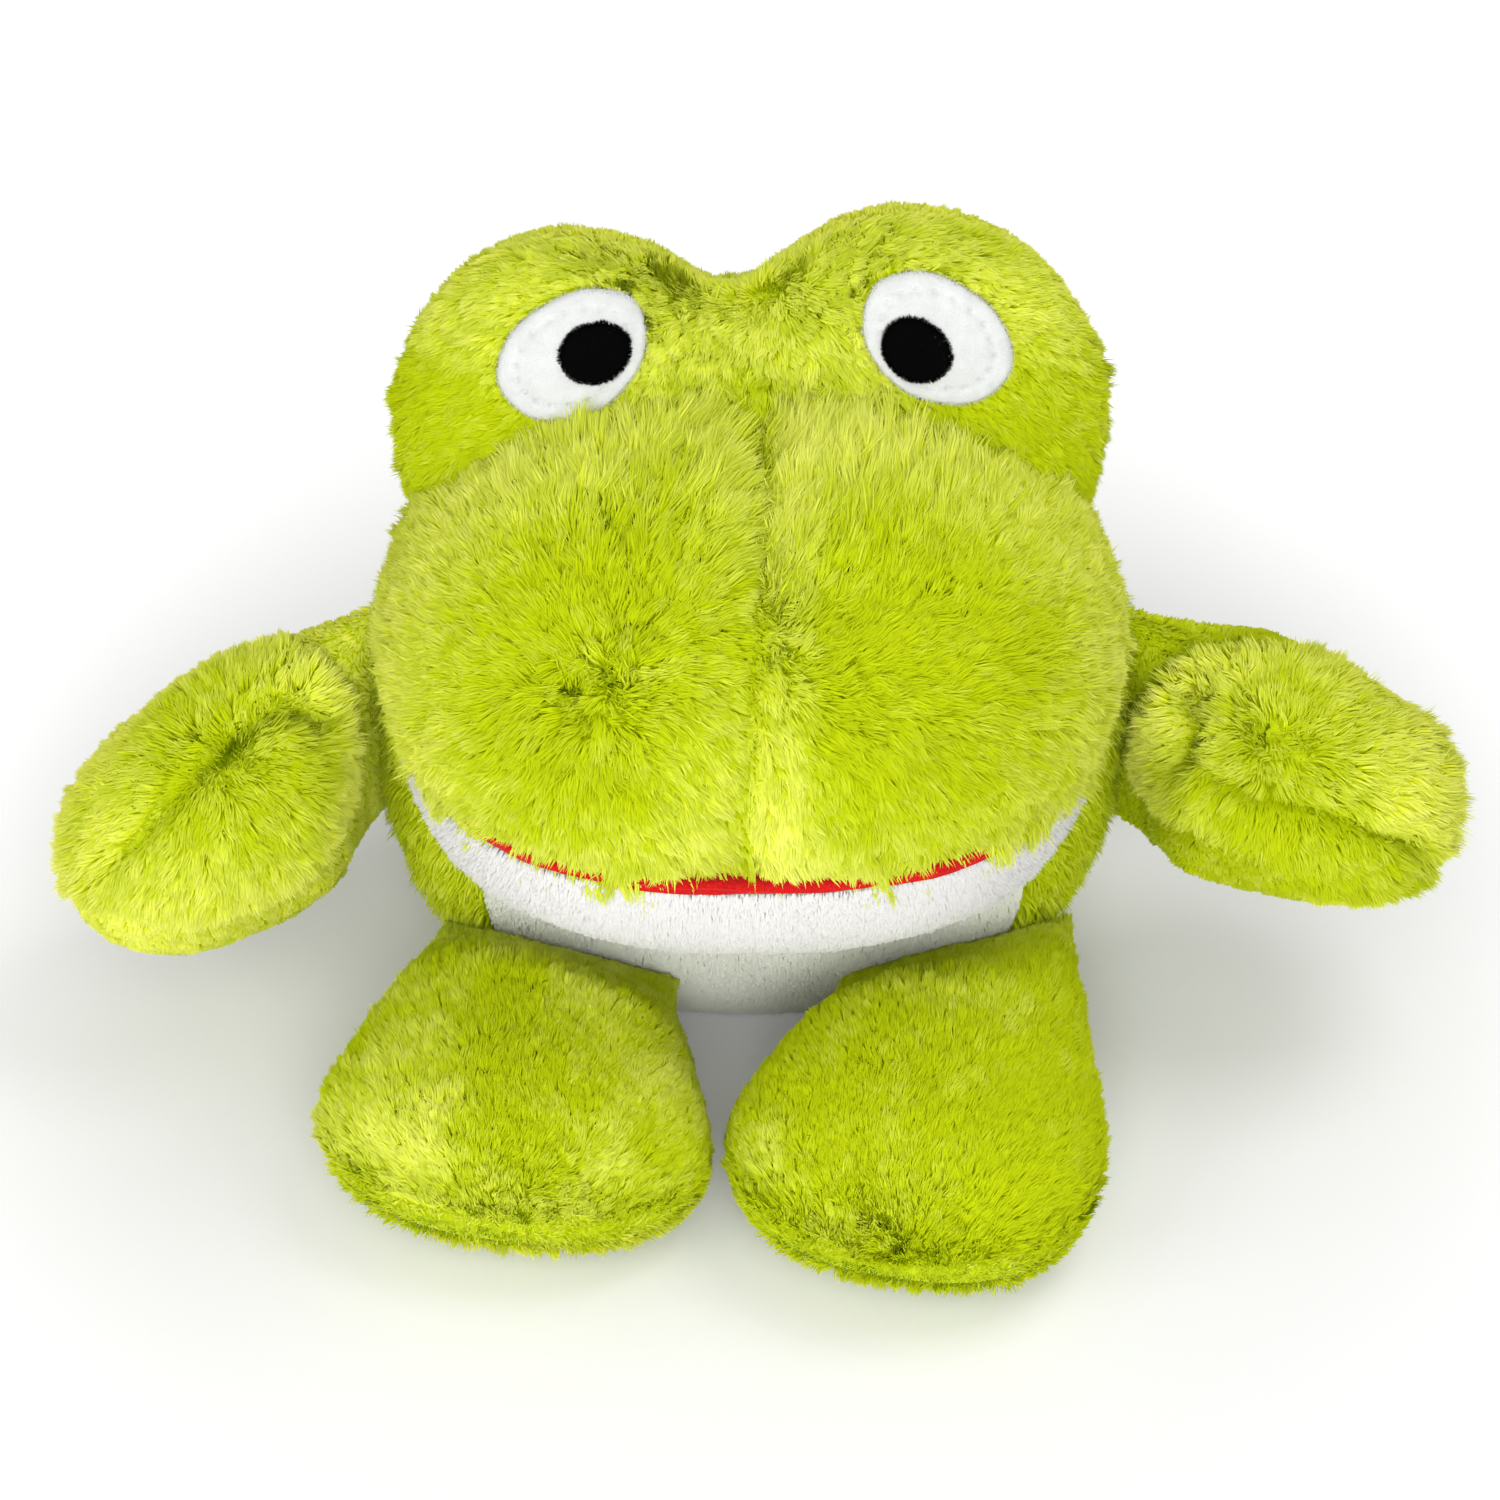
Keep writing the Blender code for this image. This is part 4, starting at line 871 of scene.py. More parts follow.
muzzle = domeForm(snout, 110, 300)
padSkin("snout_backing", closedDome(muzzle, snout["middle"]), limeBacking, "torso",
        ["snout_left_panel", "snout_right_panel", "snout_stuffing"])
chin = domeForm(jaw, 80, 260)
padSkin("jaw_backing", closedDome(chin, jaw["middle"]), whiteBacking, "torso",
        ["jaw_panel", "jaw_stuffing"])
snoutPile = {**bodyPile, "count": 92000, "length": 7.0 * mm, "lock": 2.7 * mm}
snoutNap = {"across": 40 * mm, "forward": 84 * mm, "height": 158 * mm, "seamRise": 20 * mm, "seamRiseWidth": 12 * mm,
            "whorl": 22 * mm, "leftLean": 0.60, "leftReach": 40 * mm, "paleFrom": 18 * mm, "paleSpan": 40 * mm,
            "ragged": 1.2 * mm, "raggedSize": 4 * mm, "partingWidth": 2.2 * mm, "besideWidth": 8.0 * mm,
            "valleyWidth": 5.5 * mm, "ridge": 10.0 * mm, "ridgeWidth": 6.0 * mm, "top": 166 * mm, "topSpan": 16 * mm,
            "lipHeight": 10 * mm, "besideShare": 0.8, "besideLean": (0.65, 0.0, -0.45), "topLean": (0.0, -0.15, 1.0),
            "lipLean": (0.0, -0.15, -0.60), "tone": -0.08, "rimPaintedLight": 0.62, "topPaintedShade": -0.02, "ridgePaintedLight": 0.24,
            "valleyPaintedShade": -0.24, "partingPaintedShade": -0.10, "valleyShort": 0.34, "partingShort": 0.25, "topKeeps": 0.7,
            "topLong": 0.85, "tuft": 32 * mm, "tuftWidth": 20 * mm, "tuftLong": 0.45, "lipLong": 0.40,
            "lipSeamLong": 0.75}
jawNap = {"lipHeight": 6 * mm, "corner": 45 * mm, "cornerSpan": 30 * mm, "outward": 9.0, "lean": (0.0, 0.2, -0.8),
          "lipShort": 0.2, "cornerLong": 0.9, "tone": 0.55}


def snoutComb(roots):
    # up at the top, back at the sides and down at the lip: the frog's right half from a whorl, the left
    # half from the seam; both are brushed to the left beside it, where the pile lies shorter in a valley
    nap = snoutNap
    point, seam = roots["points"], roots["seam"]
    side = np.sign(seam)
    height = nap["height"] + nap["seamRise"] * bell(seam, nap["seamRiseWidth"])
    away = point - np.concatenate([side * nap["across"], np.full_like(side, -nap["forward"]), height], axis=-1)
    rim = fade(np.linalg.norm(away, axis=-1, keepdims=True), nap["paleFrom"], nap["paleSpan"])
    ragged = seam + nap["ragged"] * smoothNoise(point, nap["raggedSize"], 62)[:, None]
    parting = bell(ragged, nap["partingWidth"])
    valley = bell(ragged, nap["valleyWidth"])
    beside = bell(seam, nap["besideWidth"])
    ridge = bell(seam - nap["ridge"], nap["ridgeWidth"])
    high = fade(point[:, 2:], nap["top"], nap["topSpan"])
    lip = 1.0 - smoothStep(roots["lip"] / nap["lipHeight"])
    tuft = bell(point[:, :1] - nap["tuft"], nap["tuftWidth"])
    lean = away / nap["whorl"]
    outward = nap["leftLean"] + np.clip(away[:, :1], 0.0, None) / nap["leftReach"]
    lean[:, :1] = np.where(side > 0.0, outward, lean[:, :1])
    lean = lean / np.maximum(np.linalg.norm(lean, axis=-1, keepdims=True), 1.0)
    lean = lean * (1.0 - nap["besideShare"] * beside) + np.array(nap["besideLean"]) * beside
    lean = lean + np.array(nap["topLean"]) * high + np.array(nap["lipLean"]) * lip
    # painted light pales the pile away from each half's middle towards the snout's edges and on the ridge beside the
    # seam; painted shade darkens the valley, the parting and, a little, the top
    tone = (nap["tone"] + nap["rimPaintedLight"] * rim + nap["topPaintedShade"] * high + nap["ridgePaintedLight"] * ridge
            + nap["valleyPaintedShade"] * valley + nap["partingPaintedShade"] * parting)
    short = nap["valleyShort"] * valley + nap["partingShort"] * parting
    short = short * (1.0 - nap["topKeeps"] * high) * (1.0 - lip)
    size = 1.0 - short + (nap["topLong"] + nap["tuftLong"] * tuft) * high
    return lean, size + lip * (nap["lipLong"] + nap["lipSeamLong"] * valley), tone


def jawComb(roots):
    # down the jaw, and outwards and longer at the mouth's corners
    nap = jawNap
    lip = 1.0 - smoothStep(roots["lip"] / nap["lipHeight"])
    corner = fade(np.abs(roots["points"][:, :1]), nap["corner"], nap["cornerSpan"])
    outward = roots["points"] * np.array((nap["outward"], 0.0, 0.0)) * corner
    size = 1.0 - nap["lipShort"] * lip + nap["cornerLong"] * corner
    return outward + np.array(nap["lean"]), size, nap["tone"] + 0.0 * lip


growPile("snout_left_pile", muzzle, (muzzle["seam"] > 0.0) * 1.0, hiddenBy("head", "body"),
         snoutPile, snoutComb, 301, limePile, "torso")
growPile("snout_right_pile", muzzle, (muzzle["seam"] < 0.0) * 1.0, hiddenBy("head", "body"),
         snoutPile, snoutComb, 302, limePile, "torso")
growPile("jaw_pile", chin, np.ones(chin["seam"].shape), hiddenBy("head", "body"),
         {**shortPile, "count": 78000, "width": 0.50 * mm}, jawComb, 303, whitePile, "torso")
print("snout and jaw ready")


# Mouth

mouth = {"halfWidth": 0.0865, "reach": 0.0835, "foldDepth": 0.050, "height": 0.108, "power": 2.5, "sewn": 0.93,
         "thickness": 1.1 * mm, "lipOver": 1.0 * mm, "wave": 0.3 * mm, "waveSize": 9 * mm, "droop": 0.9 * mm,
         "apart": 0.55 * mm, "flat": (0.164, 0.080)}


def mouthForm(rows, columns):
    # an oval of felt folded at the back, forward = reach * (1 - |x/a|^p)^(1/p): the lower leaf, the fold and
    # the upper leaf, a little apart, with the edges over the lips drooping by the square of how far they go
    turns = np.linspace(-math.pi / 2.0, math.pi / 2.0, columns)[None, :]
    leaf = np.linspace(-1.0, 1.0, rows)[:, None]
    x = mouth["halfWidth"] * mouth["sewn"] * np.sin(turns) + 0.0 * leaf
    outward = np.abs(x) / mouth["halfWidth"]
    lip = mouth["reach"] * (1.0 - outward ** mouth["power"]) ** (1.0 / mouth["power"])
    edge = lip + mouth["lipOver"] * (1.0 - 0.4 * outward ** 4)
    ripple = smoothNoise(np.stack([x, np.sign(leaf) * 0.02 + 0.0 * x, 0.0 * x], axis=-1), mouth["waveSize"], 77)
    edge = edge + mouth["wave"] * ripple
    back = np.minimum(mouth["foldDepth"], lip - 2.0 * mm)
    forward = back + (edge - back) * np.abs(leaf)
    over = np.clip((forward - lip) / mouth["lipOver"], 0.0, 1.5)
    height = mouth["apart"] * np.tanh(leaf * 12.0) - mouth["droop"] * over ** 2 * (1.0 + 0.5 * ripple)
    return np.stack([x, snout["middle"][1] - forward, mouth["height"] + height], axis=-1)


leaves = mouthForm(49, 141)
rows, columns = leaves.shape[:2]
corner = np.arange(rows - 1)[:, None] * columns + np.arange(columns - 1)[None, :]
mesh = bpy.data.meshes.new("mouth_felt")
quads = np.stack([corner, corner + 1, corner + columns + 1, corner + columns], axis=-1)
mesh.from_pydata(leaves.reshape(-1, 3).tolist(), [], quads.reshape(-1, 4).tolist())
mesh.shade_smooth()
mouthFelt = addMesh("mouth_felt", mesh, redFelt)
solid = mouthFelt.modifiers.new("felt thickness", "SOLIDIFY")
solid.thickness = mouth["thickness"]
solid.offset = 0.0
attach(mouthFelt, "torso")
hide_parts("mouth_lining")


# Eyes

eyeMake = {"lift": 1.7 * mm, "thickness": 1.5 * mm, "stitchRing": 0.76, "stitches": 19, "pitRadius": 0.75 * mm,
           "pitDepth": 0.85 * mm, "channel": 0.25 * mm, "channelWidth": 1.2 * mm, "crown": 0.35 * mm,
           "edgeShare": 0.25, "pupilThickness": 1.2 * mm}
napCount = 2600  # short fibres on each disc


def discForm(middle, radius, squash, turn, lift, thickness, rows, columns, ring=None):
    # a disc on the forehead: rings out over the top, round the edge and back underneath; its thickness
    # falls off as (1 - r^8)^½, with a pit at each stitch and a faint channel through the pits
    top = np.sin(np.linspace(0.0, math.pi / 2.0, rows))
    shares = np.concatenate([top, top[::-1][1:]])[:, None]
    upper = np.concatenate([np.ones(rows), np.zeros(rows - 1)])[:, None]
    turns = ringTurns(columns)
    wobble = 1.0 + 0.012 * np.sin(3.0 * turns + 0.7) + 0.008 * np.sin(7.0 * turns)
    wide = radius * wobble * shares * np.cos(turns)
    tall = squash * radius * wobble * shares * np.sin(turns)
    across = middle[0] + wide * math.cos(turn) - tall * math.sin(turn)
    along = middle[1] + wide * math.sin(turn) + tall * math.cos(turn)
    edge = eyeMake["edgeShare"]
    full = thickness * (edge + (1.0 - edge) * np.sqrt(1.0 - shares ** 8))
    height = lift + upper * full + (1.0 - upper) * edge * thickness * shares ** 8
    if ring:
        step = 2.0 * math.pi / ring["stitches"]
        offTurn = ((turns + step / 2.0) % step - step / 2.0) * ring["stitchRing"] * radius
        offRing = (shares - ring["stitchRing"]) * radius
        pit = ring["pitDepth"] * bell(np.hypot(offTurn, offRing), ring["pitRadius"])
        channel = ring["channel"] * bell(offRing, ring["channelWidth"])
        raised = ring["crown"] * np.clip(1.0 - shares / ring["stitchRing"], 0.0, 1.0)
        height = height + upper * (raised - pit - channel)
    depth = headSwell(across, along, head["frontSwell"]) + height
    return fromHead(np.stack([across, -depth, along], axis=-1))


def growNap(name, points, length, width, material, seed):
    # short fibres that stand any way, most of them round the disc's edge
    rows = points.shape[0]
    disc = {"points": points, "normals": ringNormals(points)}
    weight = np.zeros(points.shape[:2])
    nearEdge = int(0.41 * rows)
    weight[:nearEdge] = 0.06
    weight[nearEdge:(rows + 1) // 2 + 2] = 1.0
    recipe = {**shortPile, "count": napCount, "length": length, "width": width, "lock": 1.2 * mm, "stand": 0.5,
              "stray": 0.5, "least": 0.05, "sag": 0.0}

    def uncombed(roots):
        one = np.ones((len(roots["points"]), 1))
        return 0.0 * roots["points"], one, 0.7 * one

    growPile(name, disc, weight, lambda points: np.zeros(points.shape[:-1], bool), recipe, uncombed,
             seed, material, "torso")


blackFlock = pileFinish("black_flock_pile", ((0.0, "#020202"), (0.5, "#040404"), (1.0, "#080808")),
                        ((0.0, "#020202"), (0.5, "#050505"), (1.0, "#0a0a0b")), 0.9, 0.0)
flockBase = feltFinish("black_flock", "#010101", "#020202", "#050505", 0.3 * mm, 0.0)

for side, eye in eyes.items():
    ring = discForm((eye["offset"], eye["rise"]), eye["radius"], eye["squash"], eye["turn"], eyeMake["lift"],
                    eyeMake["thickness"], 44, 168, eyeMake)
    white = meshFromRings(side + "_eye_felt", ring, whiteFelt)
    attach(white, "torso")
    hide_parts(side + "_eye_white")
    disc = discForm(eye["pupil"], eye["pupilRadius"], eye["pupilSquash"], eye["pupilTurn"],
                    eyeMake["lift"] + eyeMake["thickness"], eyeMake["pupilThickness"], 20, 96)
    black = meshFromRings(side + "_pupil_flock", disc, flockBase)
    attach(black, "torso")
    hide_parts(side + "_pupil")
    growNap(side + "_pupil_nap", disc, 1.1 * mm, 0.16 * mm, blackFlock, 401)
    growNap(side + "_eye_nap", ring, 1.0 * mm, 0.10 * mm, whitePile, 402)
print("eyes ready")


# Arms and legs

armPile = {**bodyPile, "count": 51000, "length": 6.4 * mm}
legPile = {**bodyPile, "count": 74000, "length": 5.3 * mm, "width": 0.38 * mm, "lock": 2.6 * mm, "stand": 0.52,
           "swirl": 0.46, "lockTilt": 0.16, "wideTilt": 0.14, "lockCurl": 0.35, "mottle": 0.42, "lockTone": 0.36,
           "strandTone": 0.30, "soft": 2.6}
backPanel = {"count": 43000}
solePanel = {"count": 21000, "length": 4.0 * mm}
limbPanels = {
    "left_arm": ("front_panel", "back_panel"), "right_arm": ("back_panel", "front_panel"),
    "left_leg": ("top_panel", "sole_panel"), "right_leg": ("top_panel", "sole_panel"),
}
# the paws as they are stuffed, with places in millimetres across and up in the front plane: edge is the
# line where the paw overhangs its sleeve, with the paw on the line's right; seam is the parted seam over
# the paw; fold is a crease in it; middle is where its pile is brushed out from
# lower is painted shade on a paw below its seam and upper painted light above it; the paw's outside begins at the
# facing given, and painted light pales it there
paws = {
    "left_arm": {
        "edge": ((135.6, 15.1), (124.3, 20.6), (114, 26.1), (104.4, 29.6), (97.9, 35.6), (94.9, 42.9), (94.6, 50.5),
                 (97.2, 57), (101.4, 63.5), (102.9, 67.3), (108.2, 71.8), (117, 75.1), (124.3, 75.8), (139.1, 76.1)),
        "seam": ((113, 42.9), (120, 40.7), (128.8, 37.9), (135.3, 35.6), (150.1, 30.4), (157.4, 26.9), (164.9, 24.6),
                 (173.2, 22.6)),
        "fold": ((113, 42.9), (110.7, 49), (112.7, 56.5), (113.7, 63.3)),
        "middle": (133, 48), "step": 4.2 * mm, "overhang": 2.2 * mm, "sleeve": 0.06, "lower": -0.34, "upper": 0.16,
        "swell": 0.0, "inset": 4.5 * mm, "outsideFacing": 0.10},
    "right_arm": {
        "edge": ((-115.5, 74.1), (-111.7, 72.1), (-107.2, 68.3), (-104.4, 64.5), (-102.2, 61.8), (-100.7, 55.7),
                 (-99.2, 49.2), (-99.2, 40.4), (-102.2, 30.1), (-108.7, 20.3), (-118.2, 12.3), (-129.3, 7.3),
                 (-140.3, 4.3), (-151.4, 5), (-160.4, 8.5)),
        "seam": ((-117.5, 62.5), (-126.5, 53.5), (-133.8, 46.2), (-141.1, 39.7), (-147.1, 34.4), (-155.2, 25.6),
                 (-163.9, 17.6)),
        "fold": ((-121, 58.5), (-114, 57), (-108, 52)),
        "middle": (-134, 44), "step": 2.6 * mm, "overhang": 1.6 * mm, "sleeve": 0.72, "lower": 0.0, "upper": 0.05,
        "swell": 3.5 * mm, "inset": 2.0 * mm, "outsideFacing": 0.30},
}

creases = {  # the dips in a paw: depth, width and how far the pile beside them is brushed away
    "seam": {"depth": 2.6 * mm, "width": 2.4 * mm, "reach": 4.0 * mm},
    "fold": {"depth": 6.5 * mm, "width": 3.6 * mm, "reach": 7.0 * mm},
}
pawFold = {"facing": 0.30, "stepWidth": 4.4 * mm, "stepReach": 14.0 * mm, "overhangReach": 9.0 * mm,
           "pawBlend": 3.0 * mm, "rimWidth": 6.0 * mm, "darkReach": 4.0 * mm, "edgeEnds": 0.12, "creaseEnds": 0.10,
           "lowerBlend": 6.0 * mm, "swellTop": 55 * mm, "swellSpan": 30 * mm, "swellFrom": 0.25, "swellRise": 0.3}
toeSeam = {"width": 2.2 * mm, "from": 0.12, "rise": 0.1, "depth": 0.4 * mm, "parting": 0.15}
limbNap = {"tip": 0.72, "tipSpan": 0.28, "root": 0.04, "rootSpan": 0.22, "outsideEase": 0.5,
           "partingShort": 0.40, "darkShort": 0.35, "seamPaintedShade": 0.20, "creasePaintedShade": 0.30}
pawNap = {"outsideSpan": 0.42, "calm": 8 * mm, "calmSpan": 26 * mm, "middleSize": 12 * mm, "outsideBrush": 0.7,
          "along": 0.6, "down": 0.25, "aside": 0.9, "sleeveLength": 0.42, "outsideShort": 0.65, "rimLong": 0.12,
          "tipLong": 0.35, "rootShort": 0.40, "rootFacing": 0.5, "tone": 0.16, "spreadPaintedLight": 0.28, "rimPaintedLight": 0.26,
          "outsidePaintedLight": 0.56, "tipPale": 0.12}
legNap = {"innerWidth": 20 * mm, "outside": 0.05, "outsideSpan": 0.40, "top": -0.1, "topSpan": 0.7, "up": 1.2,
          "lay": 0.85, "spreadWidth": 30 * mm, "spread": 0.25, "innerShort": 0.30, "tipLong": 0.10,
          "rootShort": 0.25, "outsideShort": 0.25, "tone": {"left_leg": -0.06, "right_leg": 0.12},
          "tipPale": 0.08, "outsidePaintedLight": 0.20, "rootPaintedLight": 0.25}


def linedUp(along, share):
    # 1 along a line and 0 at its two ends, by a smooth step over a share of it
    return smoothStep(along / share) * smoothStep((1.0 - along) / share)


def foldLimb(name, form):
    # at the paw's edge the surface steps up, as step(d/w), and seam and fold are bells over the distance
    # from their lines; only the side that faces the view is shaped, and a leg has its toe's seam alone
    facing = dot(form["normals"], -awayFromView)[..., 0]
    forward = smoothStep(facing / pawFold["facing"])
    zero = np.zeros(forward.shape)
    form.update(facing=facing, paw=zero, dark=zero, rim=zero, parting=zero, lower=zero,
                ways=np.zeros(form["points"].shape), middleWay=np.zeros(form["points"].shape))
    if name in paws:
        paw = paws[name]
        distance, along, _ = besideLine(form["points"], paw["edge"])
        distance = distance + paw["inset"]
        ends = linedUp(along, pawFold["edgeEnds"]) * forward
        outer, inner = np.clip(distance, 0.0, None), np.clip(-distance, 0.0, None)
        step = smoothStep(0.5 + distance / pawFold["stepWidth"])
        overhang = (distance < 0.0) * np.exp(-inner / pawFold["overhangReach"]) * (1.0 - step)
        lowered = (paw["step"] * step * np.exp(-outer / pawFold["stepReach"]) - paw["overhang"] * overhang) * ends
        form["paw"] = smoothStep(0.5 - distance / pawFold["pawBlend"]) * forward
        form["rim"] = bell(inner, pawFold["rimWidth"]) * (distance < 0.0) * ends
        # dark is where painted shade goes: on the sleeve under the paw's overhanging edge, and in the fold below
        form["dark"] = step * np.exp(-outer / pawFold["darkReach"]) * ends
        for line, crease in creases.items():
            distance, along, way = besideLine(form["points"], paw[line])
            ends = linedUp(along, pawFold["creaseEnds"]) * forward
            dip = bell(distance, crease["width"]) * ends
            lowered = lowered + crease["depth"] * dip
            form["parting"] = np.maximum(form["parting"], dip * (line == "seam"))
            form["dark"] = np.maximum(form["dark"], dip * (line == "fold"))
            form["ways"] = form["ways"] + way * (bell(distance, crease["reach"]) * ends)[..., None]
            if line == "seam":
                below = np.sign(paw["middle"][0]) * distance
                form["lower"] = smoothStep(0.5 - below / pawFold["lowerBlend"]) * forward
        form["middleWay"] = fromFrontPlane(frontPlane(form["points"]) - np.array(paw["middle"]) * mm)
        low = smoothStep((pawFold["swellTop"] - form["points"][..., 2]) / pawFold["swellSpan"])
        lowered = lowered - paw["swell"] * low * fade(form["share"], pawFold["swellFrom"], pawFold["swellRise"])
    else:
        seam = bell(form["seam"], toeSeam["width"]) * fade(form["share"], toeSeam["from"], toeSeam["rise"])
        lowered = toeSeam["depth"] * seam
        form["parting"] = toeSeam["parting"] * seam
    form["points"] = form["points"] - form["normals"] * lowered[..., None]
    form["points"][..., 2] = np.maximum(form["points"][..., 2], 0.0)
    form["normals"] = ringNormals(form["points"])
    return form


def combPaw(roots, limb, paw, nearTip, nearRoot):
    # brushed out from the paw's middle, over its edge and to its tip, and away from its seam and fold; smooth
    # round the outside; the sleeve behind is short and lies along the arm. Painted light pales the paw where it turns
    # away from the view, along its rim, away from its middle and over its seam; painted shade darkens it under the
    # seam
    nap = pawNap
    onPaw, rim, lower = roots["paw"], roots["rim"], roots["lower"]
    outside = 1.0 - fade(roots["facing"], paw["outsideFacing"], nap["outsideSpan"])
    far = np.linalg.norm(roots["middleWay"], axis=-1, keepdims=True)
    spread = fade(far, nap["calm"], nap["calmSpan"])
    brushed = roots["middleWay"] / np.maximum(far, nap["middleSize"]) * (1.0 - nap["outsideBrush"] * outside)
    along = limb["along"] * nap["along"] - upward * nap["down"]
    lean = onPaw * (brushed + along * outside) + (1.0 - onPaw) * along + roots["ways"] * nap["aside"]
    size = (nap["sleeveLength"] + (1.0 - nap["sleeveLength"]) * onPaw * (1.0 - nap["outsideShort"] * outside)
            + nap["rimLong"] * rim + nap["tipLong"] * onPaw * nearTip)
    sideways = 1.0 - smoothStep(roots["normals"][:, 2:] / nap["rootFacing"])
    size = size * (1.0 - nap["rootShort"] * nearRoot * sideways)
    tone = onPaw * (nap["tone"] + nap["spreadPaintedLight"] * spread + nap["rimPaintedLight"] * rim + nap["outsidePaintedLight"] * outside)
    tone = tone + (1.0 - onPaw) * paw["sleeve"] + nap["tipPale"] * nearTip
    tone = tone + onPaw * (paw["lower"] * lower * (1.0 - outside) + paw["upper"] * (1.0 - lower))
    return lean, size, tone, outside


def combLeg(roots, limb, legTone, nearTip, nearRoot):
    # brushed up from the toe over the top, and a little outwards to both sides; painted light pales it where it turns
    # away from the view and at its root, which lies in the jaw's shade
    nap = legNap
    side = np.sign(limb["root"][0])
    inner = smoothStep(-roots["across"] * side / nap["innerWidth"])
    outside = 1.0 - fade(roots["facing"], nap["outside"], nap["outsideSpan"])
    top = fade(roots["normals"][:, 2:], nap["top"], nap["topSpan"])
    lean = alongSurface(upward * (nap["up"] - top) - limb["along"] * top, roots["normals"]) * nap["lay"]
    lean = lean + limb["wide"] * np.clip(roots["across"] / nap["spreadWidth"], -1.0, 1.0) * nap["spread"]
    size = ((1.0 - nap["innerShort"] * inner * (1.0 - nearTip) + nap["tipLong"] * nearTip)
            * (1.0 - nap["rootShort"] * nearRoot) * (1.0 - nap["outsideShort"] * outside))
    tone = legTone + nap["tipPale"] * nearTip + nap["outsidePaintedLight"] * outside + nap["rootPaintedLight"] * nearRoot
    return lean, size, tone, outside


def limbComb(name, limb):
    # a paw's or a leg's comb, with the pile shorter along its seams and folds and under a paw's edge, where painted
    # shade darkens it
    def comb(roots):
        nap = limbNap
        nearTip = fade(roots["share"], nap["tip"], nap["tipSpan"])
        nearRoot = 1.0 - fade(roots["share"], nap["root"], nap["rootSpan"])
        if name in paws:
            lean, size, tone, outside = combPaw(roots, limb, paws[name], nearTip, nearRoot)
        else:
            lean, size, tone, outside = combLeg(roots, limb, legNap["tone"][name], nearTip, nearRoot)
        lean = lean * (1.0 - nap["outsideEase"] * outside) + alongSurface(awayFromView, roots["normals"]) * outside
        size = size * (1.0 - nap["partingShort"] * roots["parting"] - nap["darkShort"] * roots["dark"])
        return lean, size, tone - nap["seamPaintedShade"] * roots["parting"] - nap["creasePaintedShade"] * roots["dark"]
    return comb


for seed, (name, panels) in enumerate(limbPanels.items()):
    limb = finishLimb(name)
    form = foldLimb(name, limbForm(limb, 150, 240))
    replaced = [name + "_" + panels[0], name + "_" + panels[1], name + "_stuffing"]
    padSkin(name + "_backing", form, limeBacking, name, replaced)
    pile = legPile if name.endswith("leg") else armPile
    for half, panel in enumerate(panels):
        facing = (form["turn"] > 0.0) if half == 0 else (form["turn"] < 0.0)
        recipe = {**pile, **{"sole_panel": solePanel, "back_panel": backPanel}.get(panel, {})}
        growPile(name + "_" + panel.split("_")[0] + "_pile", form, facing * 1.0, hiddenBy("body"),
                 recipe, limbComb(name, limb), 500 + 10 * seed + half, limePile, name)
print("limbs ready")


# Floor, light and camera

# White paper, lit by the lamps, that glows a little for the camera alone, more with distance from the frog
paper = {"half": 4.0, "colour": "#f0f0f0", "roughness": 0.9, "middle": (0.0, -0.06, 0.0), "near": 0.15, "far": 0.34,
         "glowNear": 0.06, "glowFar": 0.36}
half = paper["half"]
floorMesh = bpy.data.meshes.new("floor")
floorMesh.from_pydata([(-half, -half, 0), (half, -half, 0), (half, half, 0), (-half, half, 0)], [], [(0, 1, 2, 3)])
floorFinish, tree, shader = newMaterial("white_paper_sweep")
setConstants(shader, {"Base Color": linearColour(paper["colour"]), "Roughness": paper["roughness"],
                      "Specular IOR Level": 0.1, "Emission Color": (1.0, 1.0, 1.0, 1.0)})
ray = addNode(tree, "ShaderNodeLightPath")
place = addNode(tree, "ShaderNodeTexCoord")
far = addNode(tree, "ShaderNodeVectorMath", {"operation": "DISTANCE", 1: paper["middle"]},
              {0: place.outputs["Object"]})
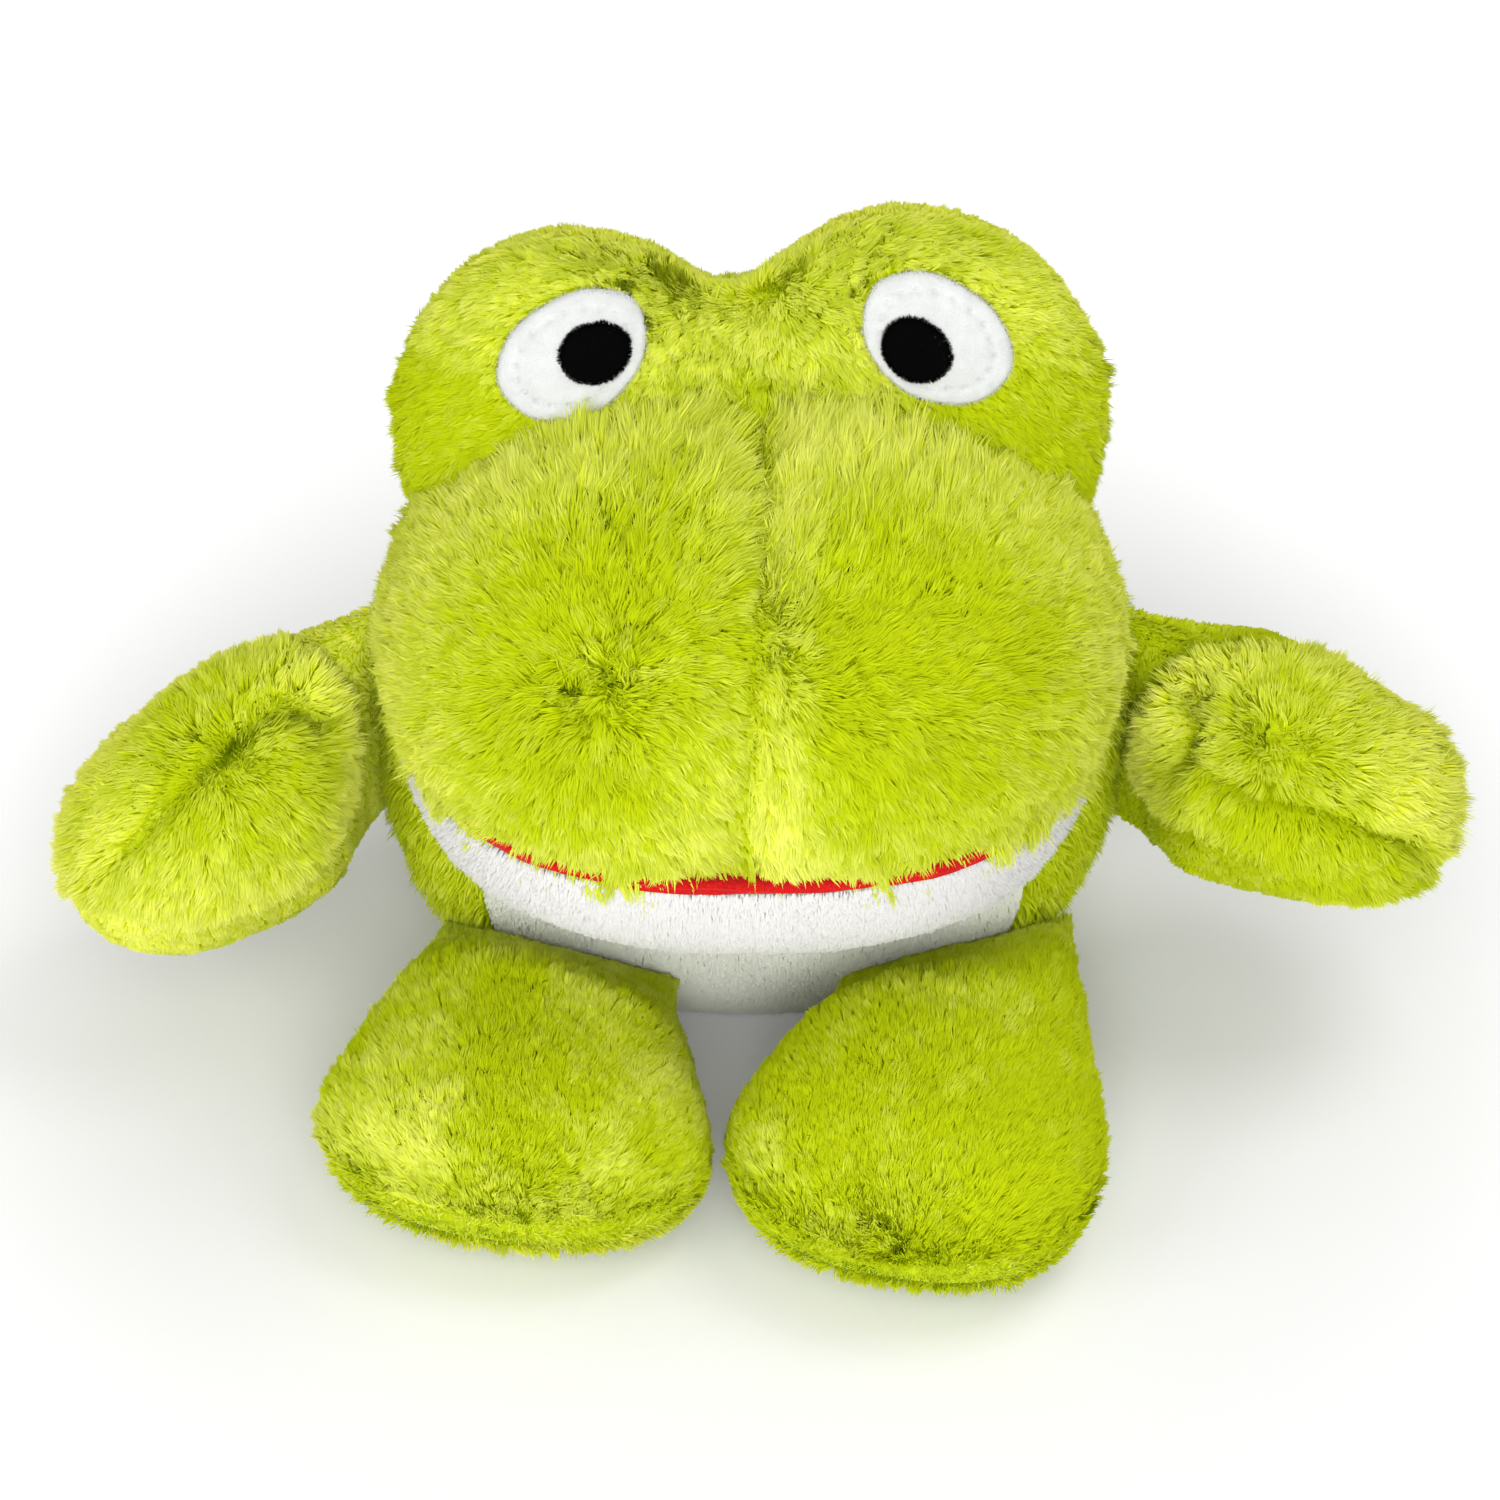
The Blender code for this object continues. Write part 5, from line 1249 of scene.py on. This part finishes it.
glow = addNode(tree, "ShaderNodeMapRange", {"interpolation_type": "SMOOTHSTEP", 1: paper["near"], 2: paper["far"],
                                            3: paper["glowNear"], 4: paper["glowFar"]}, {0: far.outputs["Value"]})
lift = addNode(tree, "ShaderNodeMath", {"operation": "MULTIPLY"},
               {0: ray.outputs["Is Camera Ray"], 1: glow.outputs[0]})
tree.links.new(lift.outputs[0], shader.inputs["Emission Strength"])
floor = addMesh("floor", floorMesh, floorFinish)

world = bpy.data.worlds.new("studio")
bpy.context.scene.world = world
world.use_nodes = True
world.node_tree.nodes["Background"].inputs[0].default_value = (1.0, 1.0, 1.0, 1.0)
world.node_tree.nodes["Background"].inputs[1].default_value = 0.42

aim = np.array((0.0, -0.04, 0.08))
lamps = {"key": {"place": (0.55, 0.10, 1.20), "size": 0.60, "power": 3.8},
         "front": {"place": (0.05, -1.40, 1.55), "size": 1.40, "power": 6.8},
         "low": {"place": (0.05, -1.45, 0.86), "size": 0.90, "power": 11.5},
         "left": {"place": (-1.10, -0.80, 0.75), "size": 0.90, "power": 5.5},
         "under": {"place": (0.02, -0.95, 0.26), "size": 0.30, "power": 0.7}}
for name, lamp in lamps.items():
    light = bpy.data.lights.new(name, "AREA")
    light.energy = lamp["power"]
    light.size = lamp["size"]
    lampObject = bpy.data.objects.new(name, light)
    place = np.array(lamp["place"])
    lampObject.location = place
    toward = unit(aim - place)
    lampObject.rotation_euler = (math.acos(-toward[2]), 0.0, math.atan2(toward[1], toward[0]) - math.pi / 2.0)
    bpy.context.scene.collection.objects.link(lampObject)

view = {"distance": 0.95, "target": (0.0, -0.042, 0.102), "field": 0.375}
camera = bpy.data.objects.new("camera", bpy.data.cameras.new("camera"))
bpy.context.scene.collection.objects.link(camera)
camera.location = np.array(view["target"]) - awayFromView * view["distance"]
camera.rotation_euler = (math.pi / 2.0 - viewAngle, 0.0, 0.0)
camera.data.angle = 2.0 * math.atan(view["field"] / 2.0 / view["distance"])
camera.data.clip_start = 0.01
bpy.context.scene.camera = camera
bpy.context.scene.view_settings.view_transform = "Standard"

print("scene ready")
